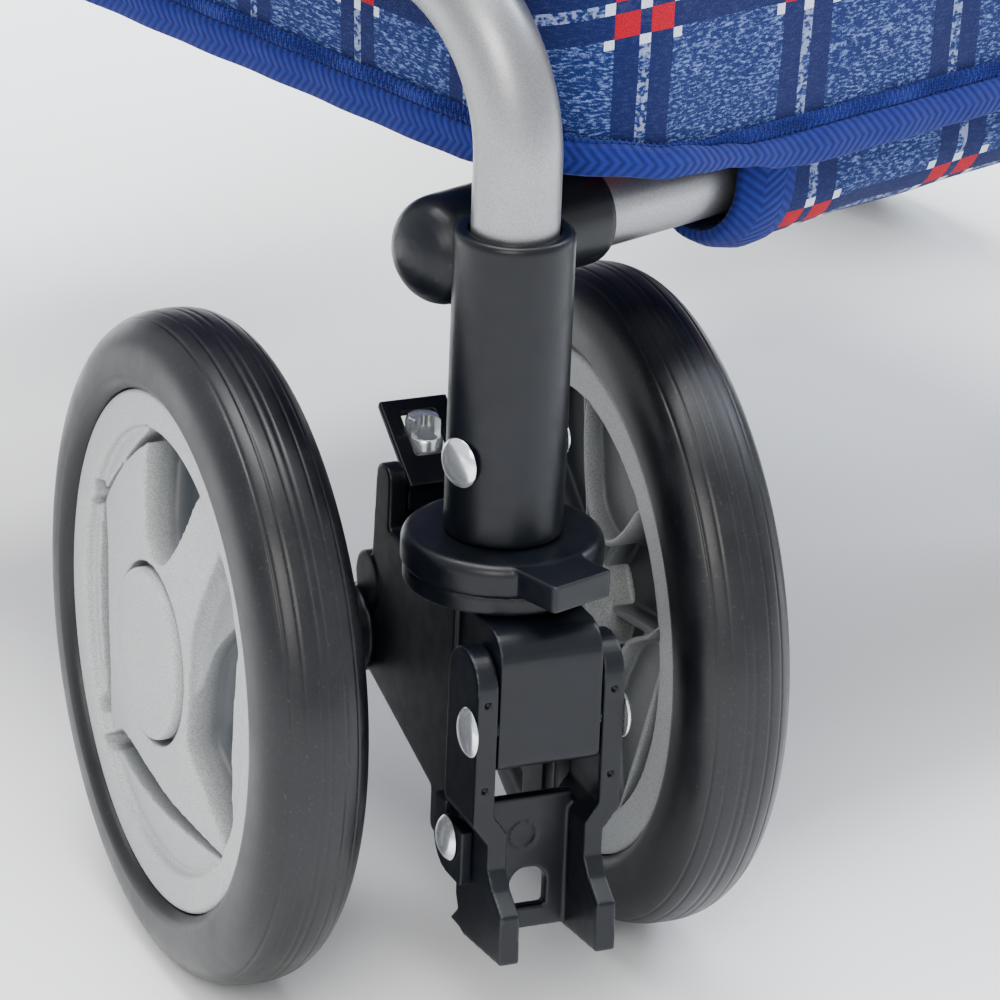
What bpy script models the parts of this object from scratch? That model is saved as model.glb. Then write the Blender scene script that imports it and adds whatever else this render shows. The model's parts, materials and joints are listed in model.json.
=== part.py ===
"""Shopping trolley on wheels: a tartan bag on a tube frame with twin-wheel swivel casters in front.

World frame: X across the trolley, front towards -Y, Z up, the floor at Z = 0. Every size below is in
millimetres and becomes metres when a piece is placed. A caster is modelled about its own stem axis,
straight ahead (front towards -Y), then turned to its rest heading. The right side mirrors the left.
"""

import math

import bmesh
import bpy
from mathutils import Matrix, Vector

MM = 0.001
GAP = 0.3
FIT = 0.5

# Layout
STEM_SPACING = 400.0
WHEELBASE = 340.0
FRONT_REACH = 42.48
HANDLE_SETBACK = 84.0
CASTER_HEADING = -19.58
TUBE_R = 9.5
TUBE_WALL = 1.2
SOCKET_R = TUBE_R + FIT
UPRIGHT_R = 11.3
UPRIGHT_TOP = 600.0

# Front corner: connector, side tube and cross tube
CROSS_Z = 174.5
CROSS_SETBACK = 22.0
REAR_CROSS_AHEAD = 25.0
BARREL_R = 12.0
SLEEVE_R = 13.0
SLEEVE_TOP = 186.0
COLLAR_TOP = 117.0
STEM_RIVET_Z = 135.5
RAIL_Z = 239.0
RAIL_BEND = 38.0

# Caster
AXLE_Z = 75.0
TRAIL = 48.75
TRACK = 98.3
TYRE_R = 75.0
TYRE_W = 25.4
RIM_R = 58.2
AXLE_R = 4.0
FORK_TOP = 104.6
FORK_HALF = 13.0
POST_TOP = 118.5
POST_FRONT = -33.0
POST_BACK = -41.0
NOSE_HALF = 11.8
PEDAL_PIVOT = (26.4, 82.75)
PLATE_RIVET = (15.0, 52.7)
LEVER_PIVOT = (-36.5, 110.0)
LEVER_FRONT = (-34.4, 112.6)
LEVER_BACK = (-54.3, 124.8)

# Rear wheels and brake
REAR_AXLE_Z = 90.0
REAR_TYRE_W = 26.0
REAR_RIM_R = 70.0
REAR_WHEEL_OUT = 32.0
FOOT_HALF = 11.0
BRAKE_BACK = 30.0
BRAKE_Z = 192.0

# Handle
HANDLE_FOOT = 430.0
HANDLE_BEND_Z = 880.0
HANDLE_TOP = 950.0
GRIP_R = 14.5
GRIP_HALF = 100.0

# Bag
BAG_HALF = STEM_SPACING / 2 - 12.5
BAG_FRONT = -2.0
BAG_BACK = WHEELBASE - 14.0
BAG_BOTTOM = 188.0
BAG_TOP = 660.0
BAG_CORNER = 30.0
BAG_WALL = 3.0
BAG_FLOOR = 4.0
LID_THICK = 5.0
LID_FLAP = 90.0
SLEEVE_HALF = STEM_SPACING / 2 - 71.0

MATERIALS = {
    "black_plastic": ((0.022, 0.025, 0.034), 0.45, 0.0),
    "steel": ((0.75, 0.76, 0.78), 0.2, 1.0),
    "silver_tube": ((0.52, 0.53, 0.55), 0.35, 1.0),
    "tyre_rubber": ((0.040, 0.043, 0.052), 0.5, 0.0),
    "grey_plastic": ((0.47, 0.49, 0.49), 0.45, 0.0),
    "tartan_cloth": ((0.075, 0.12, 0.30), 0.9, 0.0),
    "foam": ((0.03, 0.032, 0.038), 0.8, 0.0),
}

# Geometry -----------------------------------------------------------------


def axes(normal):
    """The two in-plane axes and the extrusion axis for an outline seen along X, Y or Z."""
    x, y, z = Vector((1, 0, 0)), Vector((0, 1, 0)), Vector((0, 0, 1))
    return {"X": (y, z, x), "Y": (x, z, y), "Z": (x, y, z)}[normal]


def closed(mesh):
    bmesh.ops.recalc_face_normals(mesh, faces=mesh.faces[:])
    return mesh


def arc(centre, radius, start, end, steps):
    """Points on an arc, angles in degrees."""
    points = []
    for step in range(steps + 1):
        angle = math.radians(start + (end - start) * step / steps)
        points.append((centre[0] + radius * math.cos(angle), centre[1] + radius * math.sin(angle)))
    return points


def filleted(corners, steps=4, loop=True):
    """A polyline of (point, radius) corners, each rounded by an arc. Points have 2 or 3 values."""
    points = []
    count = len(corners)
    for index, (corner, radius) in enumerate(corners):
        at = Vector(corner)
        if radius == 0 or (not loop and index in (0, count - 1)):
            points.append(at)
            continue
        before = (Vector(corners[index - 1][0]) - at).normalized()
        after = (Vector(corners[(index + 1) % count][0]) - at).normalized()
        half = before.angle(after) / 2
        centre = at + (before + after).normalized() * radius / math.sin(half)
        first = at + before * radius / math.tan(half) - centre
        last = at + after * radius / math.tan(half) - centre
        sweep = first.angle(last)
        for step in range(steps + 1):
            share = step / steps
            near = math.sin((1 - share) * sweep) / math.sin(sweep)
            far = math.sin(share * sweep) / math.sin(sweep)
            points.append(centre + first * near + last * far)
    return points


def prism(outline, low, high, normal="X"):
    """A solid with this outline, from low to high along the axis that it is seen along."""
    right, up, along = axes(normal)
    mesh = bmesh.new()
    rings = []
    for height in (low, high):
        rings.append([mesh.verts.new(right * p[0] + up * p[1] + along * height) for p in outline])
    mesh.faces.new(rings[0])
    mesh.faces.new(rings[1])
    for index in range(len(outline)):
        ahead = (index + 1) % len(outline)
        mesh.faces.new((rings[0][index], rings[0][ahead], rings[1][ahead], rings[1][index]))
    return closed(mesh)


def box(x, y, z):
    """A block from its three (low, high) spans."""
    outline = [(y[0], z[0]), (y[1], z[0]), (y[1], z[1]), (y[0], z[1])]
    return prism(outline, x[0], x[1])


def turned(profile, segments=20, axis="Z", centre=(0, 0), ring=False):
    """A solid of revolution: profile is (radius, height) points along the axis. A ring never meets it."""
    right, up, along = axes(axis)
    middle = right * centre[0] + up * centre[1]
    mesh = bmesh.new()
    rows = []
    for radius, height in profile:
        if radius == 0:
            rows.append([mesh.verts.new(middle + along * height)] * segments)
            continue
        row = []
        for index in range(segments):
            turn = 2 * math.pi * index / segments
            spoke = right * math.cos(turn) + up * math.sin(turn)
            row.append(mesh.verts.new(middle + spoke * radius + along * height))
        rows.append(row)
    pairs = list(zip(rows, rows[1:]))
    if ring:
        pairs.append((rows[-1], rows[0]))
    for low, high in pairs:
        for index in range(segments):
            ahead = (index + 1) % segments
            corners = (low[index], low[ahead], high[ahead], high[index])
            mesh.faces.new(list(dict.fromkeys(corners)))
    return closed(mesh)


def rod(radius, low, high, axis="Z", centre=(0, 0), segments=16):
    return turned([(0, low), (radius, low), (radius, high), (0, high)], segments, axis, centre)


def tube(path, radius, bore, segments=10):
    """A hollow tube along a 3-D path, open at both ends."""
    mesh = bmesh.new()
    last = len(path) - 1
    side = Vector((1, 0, 0))
    outer, inner = [], []
    for index, point in enumerate(path):
        heading = (path[min(index + 1, last)] - path[max(index - 1, 0)]).normalized()
        side = (side - heading * side.dot(heading)).normalized()
        other = heading.cross(side)
        rows = []
        for reach in (radius, bore):
            row = []
            for turn in range(segments):
                angle = 2 * math.pi * turn / segments
                spoke = side * math.cos(angle) + other * math.sin(angle)
                row.append(mesh.verts.new(point + spoke * reach))
            rows.append(row)
        outer.append(rows[0])
        inner.append(rows[1])
    loops = [*zip(outer, outer[1:]), *zip(inner[1:], inner), (inner[0], outer[0]), (outer[-1], inner[-1])]
    for low, high in loops:
        for turn in range(segments):
            ahead = (turn + 1) % segments
            mesh.faces.new((low[turn], low[ahead], high[ahead], high[turn]))
    return closed(mesh)


def shell(outline, hole, low, floor, high):
    """An open-topped vessel: outline outside, hole inside, with the same number of points."""
    mesh = bmesh.new()
    rings = []
    for points, height in ((outline, low), (outline, high), (hole, high), (hole, floor)):
        rings.append([mesh.verts.new((p[0], p[1], height)) for p in points])
    mesh.faces.new(rings[0])
    mesh.faces.new(rings[-1])
    for below, above in zip(rings, rings[1:]):
        for index in range(len(outline)):
            ahead = (index + 1) % len(outline)
            mesh.faces.new((below[index], below[ahead], above[ahead], above[index]))
    return closed(mesh)


# Placing ------------------------------------------------------------------

ORIGIN_Y = -(WHEELBASE + HANDLE_SETBACK + GRIP_R - FRONT_REACH) / 2
CENTRE = Matrix.Scale(MM, 4) @ Matrix.Translation((0, ORIGIN_Y, 0))
LEFT = CENTRE @ Matrix.Translation((-STEM_SPACING / 2, 0, 0))
MIRROR = Matrix.Scale(-1, 4, (1, 0, 0))
SIDES = {"left": LEFT, "right": MIRROR @ LEFT}
HEADING = Matrix.Rotation(math.radians(CASTER_HEADING), 4, "Z")


def material_of(name):
    """The shared material of that name."""
    if name in bpy.data.materials:
        return bpy.data.materials[name]
    colour, roughness, metallic = MATERIALS[name]
    material = bpy.data.materials.new(name)
    material.use_nodes = True
    shader = material.node_tree.nodes["Principled BSDF"]
    shader.inputs["Base Color"].default_value = (*colour, 1)
    shader.inputs["Roughness"].default_value = roughness
    shader.inputs["Metallic"].default_value = metallic
    return material


def new_object(name, mesh, place, origin):
    """An object whose mesh is put in world space about its origin."""
    mesh.transform(place)
    if place.determinant() < 0:
        bmesh.ops.reverse_faces(mesh, faces=mesh.faces[:])
    mesh.transform(Matrix.Translation(-origin))
    data = bpy.data.meshes.new(name)
    mesh.to_mesh(data)
    mesh.free()
    obj = bpy.data.objects.new(name, data)
    obj.location = origin
    bpy.context.scene.collection.objects.link(obj)
    return obj


def add(name, mesh, material, place=CENTRE, pivot=(0, 0, 0), steps=(), solver="EXACT"):
    """A finished piece. Each step is (UNION, DIFFERENCE or INTERSECT, the solid that it uses)."""
    obj = new_object(name, mesh, place, place @ Vector(pivot))
    obj.data.materials.append(material_of(material))
    obj.data.shade_smooth()
    obj.data.set_sharp_from_angle(angle=math.radians(35))
    for number, (operation, solid) in enumerate(steps):
        guide = new_object(f"{name}.guide{number}", solid, place, Vector())
        guide.hide_render = True
        guide.display_type = "WIRE"
        modifier = obj.modifiers.new(guide.name, "BOOLEAN")
        modifier.operation = operation
        modifier.object = guide
        modifier.solver = solver
    return obj


def side_view(corners, steps=4):
    """An outline in (forward, up, radius) corners, as (Y, Z) points: forward is -Y."""
    return filleted([((-forward, up), radius) for forward, up, radius in corners], steps)


# Front corner -------------------------------------------------------------


def barrel(centre):
    """The sideways socket for a cross tube, domed at its outer end."""
    profile = [(0, -10.5), (6.5, -9.4), (10.2, -6), (BARREL_R, -1), (BARREL_R, 38.7), (10.8, 40.2), (0, 40.2)]
    return turned(profile, 16, "X", centre)


def stem_bracket(side, place):
    """The T-connector: a sleeve round the side tube and a barrel for the cross tube behind it."""
    low = COLLAR_TOP + GAP
    sleeve = turned(
        [(0, low), (SLEEVE_R, low), (SLEEVE_R, SLEEVE_TOP - 1), (SLEEVE_R - 1, SLEEVE_TOP), (0, SLEEVE_TOP)]
    )
    behind = (CROSS_SETBACK, CROSS_Z)
    steps = [
        ("UNION", barrel(behind)),
        ("UNION", box((-2.5, 2.5), (9, CROSS_SETBACK), (162, CROSS_Z))),
        ("DIFFERENCE", rod(SOCKET_R, 122, 200)),
        ("DIFFERENCE", rod(AXLE_R + GAP, 100, 130, segments=12)),
        ("DIFFERENCE", rod(SOCKET_R, 6, 60, "X", behind)),
        ("DIFFERENCE", rod(2.8, -20, 20, "X", (0, STEM_RIVET_Z), 10)),
    ]
    add(f"{side}_stem_bracket", sleeve, "black_plastic", place, steps=steps, solver="MANIFOLD")


def domed_rivet(head_r, head_at, dome, shank_r, axis, centre, segments=12):
    """A rivet along an axis, with a domed head at each end; head_at is the heads' flat inner faces."""
    end = [(shank_r, head_at), (head_r, head_at), (head_r * 0.8, head_at + dome * 0.65), (0, head_at + dome)]
    return turned([(r, -h) for r, h in reversed(end)] + end, segments, axis, centre)


def stem_rivet(side, place):
    mesh = domed_rivet(5.5, SLEEVE_R + GAP, 2.0, 2.4, "X", (0, STEM_RIVET_Z))
    add(f"{side}_stem_rivet", mesh, "steel", place)


def side_tube(side, place):
    """The tube that rises from the caster stem, bends back and runs along the bag's side."""
    corners = [((0, 0, 128), 0), ((0, 0, RAIL_Z), RAIL_BEND), ((0, WHEELBASE - 15, RAIL_Z), 0)]
    mesh = tube(filleted(corners, 7, False), TUBE_R, TUBE_R - TUBE_WALL)
    hole = rod(2.8, -20, 20, "X", (0, STEM_RIVET_Z), 10)
    add(f"{side}_side_tube", mesh, "silver_tube", place, steps=[("DIFFERENCE", hole)])


def swivel_collar(side, place):
    """The fixed ring that the fork turns under, with its pointer tab."""
    bore = AXLE_R + GAP
    profile = [(bore, 105.5), (19.5, 105.5), (19.5, 109.5), (22, 109.5), (22, 115), (20.6, 116.6)]
    profile += [(19, COLLAR_TOP), (bore, COLLAR_TOP)]
    tab = box((-12.3, 4), (-30.2, -14), (110.5, 116.7))
    add(f"{side}_swivel_collar", turned(profile, ring=True), "black_plastic", place, steps=[("UNION", tab)])


def kingpin(side, place):
    """The pin that hangs the fork from the stem, its head on the sleeve's floor."""
    profile = [(0, 82), (AXLE_R, 82), (AXLE_R, 122 + GAP), (7.5, 122 + GAP), (7.5, 126), (0, 126)]
    add(f"{side}_kingpin", turned(profile, 12), "steel", place)


# Caster -------------------------------------------------------------------


def fork_outline():
    boss = arc((TRAIL, AXLE_Z), 10, 50, -130, 8)
    front = [(29.8, 73, 2.5), (29.8, FORK_TOP, 7), (POST_FRONT, FORK_TOP, 0)]
    front += [(POST_FRONT, POST_TOP, 3), (POST_BACK, POST_TOP, 3.5)]
    lower = [(-4, 56, 0), (-4, 46, 2), (7, 46, 2), (7, 71, 0), (21, 71, 0)]
    return side_view(front + [(-42.5, 90, 0)]) + boss + side_view(lower)


def fork(side, place):
    """The swivelling fork: a nose between the pedal's ears, hollow flanks, bosses and walled rear posts."""
    nose = []
    for low, high in ((NOSE_HALF, 20), (-20, -NOSE_HALF)):
        nose.append(("DIFFERENCE", box((low, high), (-40, -6), (30, 130))))
    hollow = side_view([(21, 40, 0), (21, 92, 4), (-33, 92, 4), (-36, 40, 0)])
    inner = side_view([(-20, FORK_TOP, 3), (-20, 125, 0), (-60, 125, 0), (-60, FORK_TOP, 0)])
    steps = [
        ("UNION", rod(9.5, -17, 17, "X", (TRAIL, AXLE_Z))),
        ("UNION", rod(5.5, -15, 15, "X", (43, 94), 14)),
        ("DIFFERENCE", prism(hollow, -8.8, 8.8)),
        ("DIFFERENCE", prism(inner, -9, 9)),
        ("UNION", rod(7.6, 79, 95, segments=14)),
        ("UNION", box((-9.5, 9.5), (40.2, 41.2), (95, 112))),
        *nose,
        ("DIFFERENCE", rod(AXLE_R + FIT, 60, 120, segments=12)),
        ("DIFFERENCE", rod(AXLE_R + FIT, -30, 30, "X", (TRAIL, AXLE_Z), 12)),
        ("DIFFERENCE", rod(2.5, -30, 30, "X", (-PEDAL_PIVOT[0], PEDAL_PIVOT[1]), 10)),
        ("DIFFERENCE", rod(1.9, -30, 30, "X", (-LEVER_PIVOT[0], LEVER_PIVOT[1]), 10)),
    ]
    add(f"{side}_fork", prism(fork_outline(), -FORK_HALF, FORK_HALF), "black_plastic", place, steps=steps)


def caster_axle(side, place):
    reach = TRACK / 2 + 12.5
    profile = [(0, -reach), (AXLE_R, -reach), (AXLE_R, reach), (0, reach)]
    add(f"{side}_caster_axle", turned(profile, 12, "X", (TRAIL, AXLE_Z)), "steel", place)


def tyre_profile(radius, width, seat):
    """Half-round tread over a flat seat, as a closed ring of (radius, across) points."""
    half = width / 2
    right = [(radius, half * 0.3), (radius - 3.0, half * 0.82), (radius - 8, half), (seat, half * 0.84)]
    return right + [(r, -across) for r, across in reversed(right)]


def tyre(name, place, radius, width, seat, mid, centre):
    mesh = turned([(r, mid + x) for r, x in tyre_profile(radius, width, seat)], 24, "X", centre, ring=True)
    add(name, mesh, "tyre_rubber", place, (mid, *centre))


def rim(name, place, radius, mid, hub, centre, outward):
    """A dished wheel: rim flange, closed web and a hub, bored for the axle. outward is +1 or -1."""
    bore = AXLE_R + GAP
    flange = radius - 9
    profile = [(radius, -10.5), (radius, 10.5), (flange, 11), (flange - 3, 4), (20, 2.5), (20, 13)]
    profile += [(bore, 13), (bore, hub), (13, hub), (13, -1), (flange - 3, -1), (flange, -11)]
    mesh = turned([(r, mid + outward * x) for r, x in profile], 24, "X", centre, ring=True)
    add(name, mesh, "grey_plastic", place, (mid, *centre))


def caster_wheels(side, place):
    """The twin wheels, named by which side of the fork they run on."""
    centre = (TRAIL, AXLE_Z)
    for wheel, outward in (("outer", -1), ("inner", 1)):
        name = f"{side}_{wheel}"
        mid = outward * TRACK / 2
        tyre(f"{name}_tyre", place, TYRE_R, TYRE_W, RIM_R + GAP, mid, centre)
        rim(f"{name}_rim", place, RIM_R, mid, -26, centre, outward)
        cap = [(0, 13 + GAP), (19.15, 13 + GAP), (18.4, 15.2), (0, 16.2)]
        mesh = turned([(r, mid + outward * x) for r, x in cap], 20, "X", centre)
        add(f"{name}_hub_cap", mesh, "grey_plastic", place, (mid, *centre))


def lock_pedal(side, place):
    """The foot pedal: ears on the fork's nose, stepping in to a channel with two prongs."""
    wall = [(12.1, 101), (17, 101), (17, 62), (13.4, 57), (13.4, 28), (8.9, 28), (8.9, 59), (12.1, 63.5)]
    both = prism(wall, -45, -5, "Y")
    other = prism([(-u, z) for u, z in wall], -45, -5, "Y")
    outline = [(30, 51, 0), (30, 100, 8), (13, 100, 8), (13, 38, 0), (14.5, 35, 0), (10.5, 31, 0), (15.5, 31, 0)]
    outline += [(18, 30.3, 0), (39, 32.3, 0.8), (38.6, 43.5, 0.8), (33, 47.3, 0)]
    web = box((-9.6, 9.6), (-21.5, -18.5), (31.5, 63))
    arch = filleted([((-4.2, 36.5), 0), ((4.2, 36.5), 0), ((4.2, 46), 3.8), ((-4.2, 46), 3.8)])
    steps = [
        ("UNION", other),
        ("INTERSECT", prism(side_view(outline), -20, 20)),
        ("UNION", web),
        ("DIFFERENCE", prism(arch, -30, -10, "Y")),
        ("DIFFERENCE", rod(2.5, -30, 30, "X", (-PEDAL_PIVOT[0], PEDAL_PIVOT[1]), 10)),
        ("DIFFERENCE", rod(2.5, -30, -5, "X", (-PLATE_RIVET[0], PLATE_RIVET[1]), 10)),
    ]
    pivot = (0, -PEDAL_PIVOT[0], PEDAL_PIVOT[1])
    add(f"{side}_lock_pedal", both, "black_plastic", place, pivot, steps)


def pedal_rivet(side, place):
    mesh = domed_rivet(5.5, 17 + GAP, 1.8, 2.0, "X", (-PEDAL_PIVOT[0], PEDAL_PIVOT[1]))
    add(f"{side}_pedal_rivet", mesh, "steel", place)


def guard_plate(side, place):
    """The sheet plate on the pedal's outer flank, held by one rivet."""
    outline = side_view([(6, 60, 1), (12.4, 60, 0), (12.4, 56.6, 0), (22, 56.6, 0), (22, 44, 1), (6, 44, 8)])
    centre = (-PLATE_RIVET[0], PLATE_RIVET[1])
    hole = rod(2.5, -30, -5, "X", centre, 10)
    pivot = (0, -PEDAL_PIVOT[0], PEDAL_PIVOT[1])
    plate = prism(outline, -16.2, -13.7)
    add(f"{side}_guard_plate", plate, "black_plastic", place, pivot, [("DIFFERENCE", hole)])
    profile = [(0, -18.6), (3.9, -17.9), (5, -16.5), (2, -16.5), (2, -8.2), (0, -8.2)]
    add(f"{side}_plate_rivet", turned(profile, 14, "X", centre), "steel", place, pivot)


def along_lever(distance, height):
    """A (forward, up) point on the lever: distance from its front end, height off its underside."""
    front, back = Vector(LEVER_FRONT), Vector(LEVER_BACK)
    run = (back - front).normalized()
    return front + run * distance + Vector((run.y, -run.x)) * height


def lever_slab(first, last, low, high, half):
    corners = [(first, low), (last, low), (last, high), (first, high)]
    outline = [(-p.x, p.y) for p in (along_lever(*corner) for corner in corners)]
    return prism(outline, -half, half)


def lock_lever(side, place):
    """The windowed sheet lever behind the stem, on its pin, with the bright barrel in its window."""
    length = (Vector(LEVER_BACK) - Vector(LEVER_FRONT)).length
    pin_at = (-LEVER_PIVOT[0], LEVER_PIVOT[1])
    foot = box((-8, 8), (34.4, 38.6), (108, 114))
    steps = [
        ("DIFFERENCE", lever_slab(8, length - 3.5, -3, 5, 4)),
        ("UNION", foot),
        ("UNION", rod(1.5, -12.4, 12.4, "X", pin_at, 10)),
    ]
    pivot = (0, *pin_at)
    add(f"{side}_lock_lever", lever_slab(0, length, 0, 2, 8), "black_plastic", place, pivot, steps)
    barrel = turned([(2.2, 0), (3.8, 0), (3.8, 9), (2.2, 9)], 14, ring=True)
    seat = along_lever(14, 2 + GAP)
    tilt = Matrix.Translation((0, -seat.x, seat.y)) @ Matrix.Rotation(math.radians(30), 4, "X")
    barrel.transform(tilt)
    add(f"{side}_lever_barrel", barrel, "steel", place, pivot)


def caster(side, place):
    for piece in (fork, caster_axle, caster_wheels, lock_pedal, pedal_rivet, guard_plate, lock_lever):
        piece(side, place)


# Rear ---------------------------------------------------------------------


def rear_connector(side, place):
    """Joins the upright, the side tube, the rear cross tube and the brake bar."""
    post = rod(15, 158, 262, centre=(0, WHEELBASE))
    ahead = (WHEELBASE - REAR_CROSS_AHEAD, CROSS_Z)
    rail = (0, RAIL_Z)
    lug = arc((WHEELBASE + BRAKE_BACK, BRAKE_Z), 9, -90, 90, 8)
    lug += [(WHEELBASE + 13, BRAKE_Z + 9), (WHEELBASE + 13, BRAKE_Z - 9)]
    steps = [
        ("UNION", barrel(ahead)),
        ("UNION", rod(BARREL_R, WHEELBASE - 42, WHEELBASE - 8, "Y", rail)),
        ("UNION", prism(lug, -6, 6)),
        ("DIFFERENCE", rod(SOCKET_R, WHEELBASE - 60, WHEELBASE - 14, "Y", rail)),
        ("DIFFERENCE", rod(SOCKET_R, 6, 60, "X", ahead)),
        ("DIFFERENCE", rod(4.4, -20, 20, "X", (WHEELBASE + BRAKE_BACK, BRAKE_Z), 12)),
        ("DIFFERENCE", rod(UPRIGHT_R + FIT, 150, 270, centre=(0, WHEELBASE))),
    ]
    add(f"{side}_rear_connector", post, "black_plastic", place, steps=steps, solver="MANIFOLD")


def rear_upright(side, place):
    path = [Vector((0, WHEELBASE, z)) for z in (112, UPRIGHT_TOP)]
    add(f"{side}_rear_upright", tube(path, UPRIGHT_R, TUBE_R + 0.6), "silver_tube", place)


def rear_foot(side, place):
    """The cast foot under the upright that carries the axle."""
    foot = rod(15, 100, 138, centre=(0, WHEELBASE))
    ahead, behind = 17 - WHEELBASE, -17 - WHEELBASE
    plate = side_view([(ahead, 112, 6), (ahead, 72, 14), (behind, 72, 14), (behind, 112, 6)])
    steps = [
        ("UNION", prism(plate, -FOOT_HALF, FOOT_HALF)),
        ("DIFFERENCE", rod(UPRIGHT_R + FIT, 111.7, 150, centre=(0, WHEELBASE))),
        ("DIFFERENCE", rod(AXLE_R + FIT, -20, 20, "X", (WHEELBASE, REAR_AXLE_Z), 12)),
    ]
    add(f"{side}_rear_foot", foot, "black_plastic", place, steps=steps, solver="MANIFOLD")


def rear_wheel(side, place):
    """The fixed rear wheel, outboard of the foot."""
    centre = (WHEELBASE, REAR_AXLE_Z)
    mid = -REAR_WHEEL_OUT
    tyre(f"{side}_rear_tyre", place, REAR_AXLE_Z, REAR_TYRE_W, REAR_RIM_R + GAP, mid, centre)
    rim(f"{side}_rear_rim", place, REAR_RIM_R, mid, -16, centre, -1)


def rear_axle(side, place):
    """The stub axle of one rear wheel: a bolt whose head bears on the foot's inner face."""
    outer, seat = -REAR_WHEEL_OUT - 16, FOOT_HALF + GAP
    profile = [(0, outer), (AXLE_R, outer), (AXLE_R, seat), (7, seat), (7, seat + 3), (0, seat + 3)]
    add(f"{side}_rear_axle", turned(profile, 12, "X", (WHEELBASE, REAR_AXLE_Z)), "steel", place)


def cross_tube(name, setback):
    """A hollow tube between the two sides' barrels, at that distance behind the stems."""
    reach = STEM_SPACING / 2 - 6 - GAP
    bore = TUBE_R - TUBE_WALL
    profile = [(bore, -reach), (TUBE_R, -reach), (TUBE_R, reach), (bore, reach)]
    add(name, turned(profile, 16, "X", (setback, CROSS_Z), ring=True), "silver_tube")


def brake_bar():
    """The foot brake: a rod across both tyres with a shoe over each and a tread plate in the middle."""
    reach = STEM_SPACING / 2 + REAR_WHEEL_OUT + 14
    centre = (WHEELBASE + BRAKE_BACK, BRAKE_Z)
    back, up = centre
    upper = [((back - 3, up + 3), 0), ((back + 12, up + 3), 4), ((back + 46, up - 30), 1)]
    lower = [((back + 43, up - 34), 1), ((back + 11, up - 3), 4), ((back - 3, up - 3), 0)]
    tread = filleted(upper + lower)
    steps = [("UNION", prism(tread, -55, 55))]
    shoe = filleted([((back - 6, up + 6), 3), ((back + 6, up + 6), 3), ((back + 4, up - 15), 1),
                     ((back - 4, up - 15), 1)])
    for sign in (-1, 1):
        middle = sign * (STEM_SPACING / 2 + REAR_WHEEL_OUT)
        steps.append(("UNION", prism(shoe, middle - 11, middle + 11)))
    add("brake_bar", rod(AXLE_R, -reach, reach, "X", centre, 12), "black_plastic", CENTRE, (0, *centre), steps)


# Handle -------------------------------------------------------------------


def handle():
    """The push handle, sliding in both uprights, with its grip and the two collars that clamp it."""
    half = STEM_SPACING / 2
    back = WHEELBASE + HANDLE_SETBACK
    corners = [((-half, WHEELBASE, HANDLE_FOOT), 0), ((-half, WHEELBASE, HANDLE_BEND_Z), 60)]
    corners += [((-half, back, HANDLE_TOP), 45), ((half, back, HANDLE_TOP), 45)]
    corners += [((half, WHEELBASE, HANDLE_BEND_Z), 60), ((half, WHEELBASE, HANDLE_FOOT), 0)]
    add("handle_tube", tube(filleted(corners, 5, False), TUBE_R, TUBE_R - TUBE_WALL), "silver_tube")
    bore = SOCKET_R
    grip = [(bore, -GRIP_HALF), (GRIP_R - 2, -GRIP_HALF), (GRIP_R, 3 - GRIP_HALF), (GRIP_R, GRIP_HALF - 3)]
    grip += [(GRIP_R - 2, GRIP_HALF), (bore, GRIP_HALF)]
    add("handle_grip", turned(grip, 20, "X", (back, HANDLE_TOP), ring=True), "foam")


def height_collar(side, place):
    """The clamp collar on top of the upright, with its thumb knob."""
    low, high = UPRIGHT_TOP - 18, UPRIGHT_TOP + 16
    body = rod(15.5, low, high, centre=(0, WHEELBASE))
    knob = turned([(0, 0), (4, 0), (4, 8), (11, 8), (11, 18), (9, 20), (0, 20)], 16, "Y", (0, UPRIGHT_TOP))
    knob.transform(Matrix.Translation((0, WHEELBASE + 13, 0)))
    steps = [
        ("UNION", knob),
        ("DIFFERENCE", rod(UPRIGHT_R + FIT, low - 5, UPRIGHT_TOP + GAP, centre=(0, WHEELBASE))),
        ("DIFFERENCE", rod(TUBE_R + 0.6, low - 5, high + 5, centre=(0, WHEELBASE))),
    ]
    add(f"{side}_height_collar", body, "black_plastic", place, steps=steps, solver="MANIFOLD")


# Bag ----------------------------------------------------------------------


def plan(inset, steps=5):
    """The bag's rounded rectangle, seen from above, moved in by inset."""
    half, front, back = BAG_HALF - inset, BAG_FRONT + inset, BAG_BACK - inset
    radius = BAG_CORNER - inset
    corners = [(-half, front), (half, front), (half, back), (-half, back)]
    return filleted([(corner, radius) for corner in corners], steps)


def bag():
    """The cloth bag with its stiffened floor, and the cloth loop round the front cross tube."""
    mesh = shell(plan(0), plan(BAG_WALL), BAG_BOTTOM, BAG_BOTTOM + BAG_FLOOR, BAG_TOP)
    add("bag_body", mesh, "tartan_cloth")
    top, radius = BAG_BOTTOM - GAP, 17.0
    middle = (CROSS_SETBACK, CROSS_Z)
    outside = [(CROSS_SETBACK + radius, top)] + arc(middle, radius, 0, -180, 12) + [(CROSS_SETBACK - radius, top)]
    inside = [(CROSS_SETBACK + radius - 2, top - 2)] + arc(middle, radius - 2, 0, -180, 12)
    inside += [(CROSS_SETBACK - radius + 2, top - 2)]
    hole = prism(inside, -SLEEVE_HALF - 5, SLEEVE_HALF + 5)
    add("cross_tube_sleeve", prism(outside, -SLEEVE_HALF, SLEEVE_HALF), "tartan_cloth", steps=[("DIFFERENCE", hole)])


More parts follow.
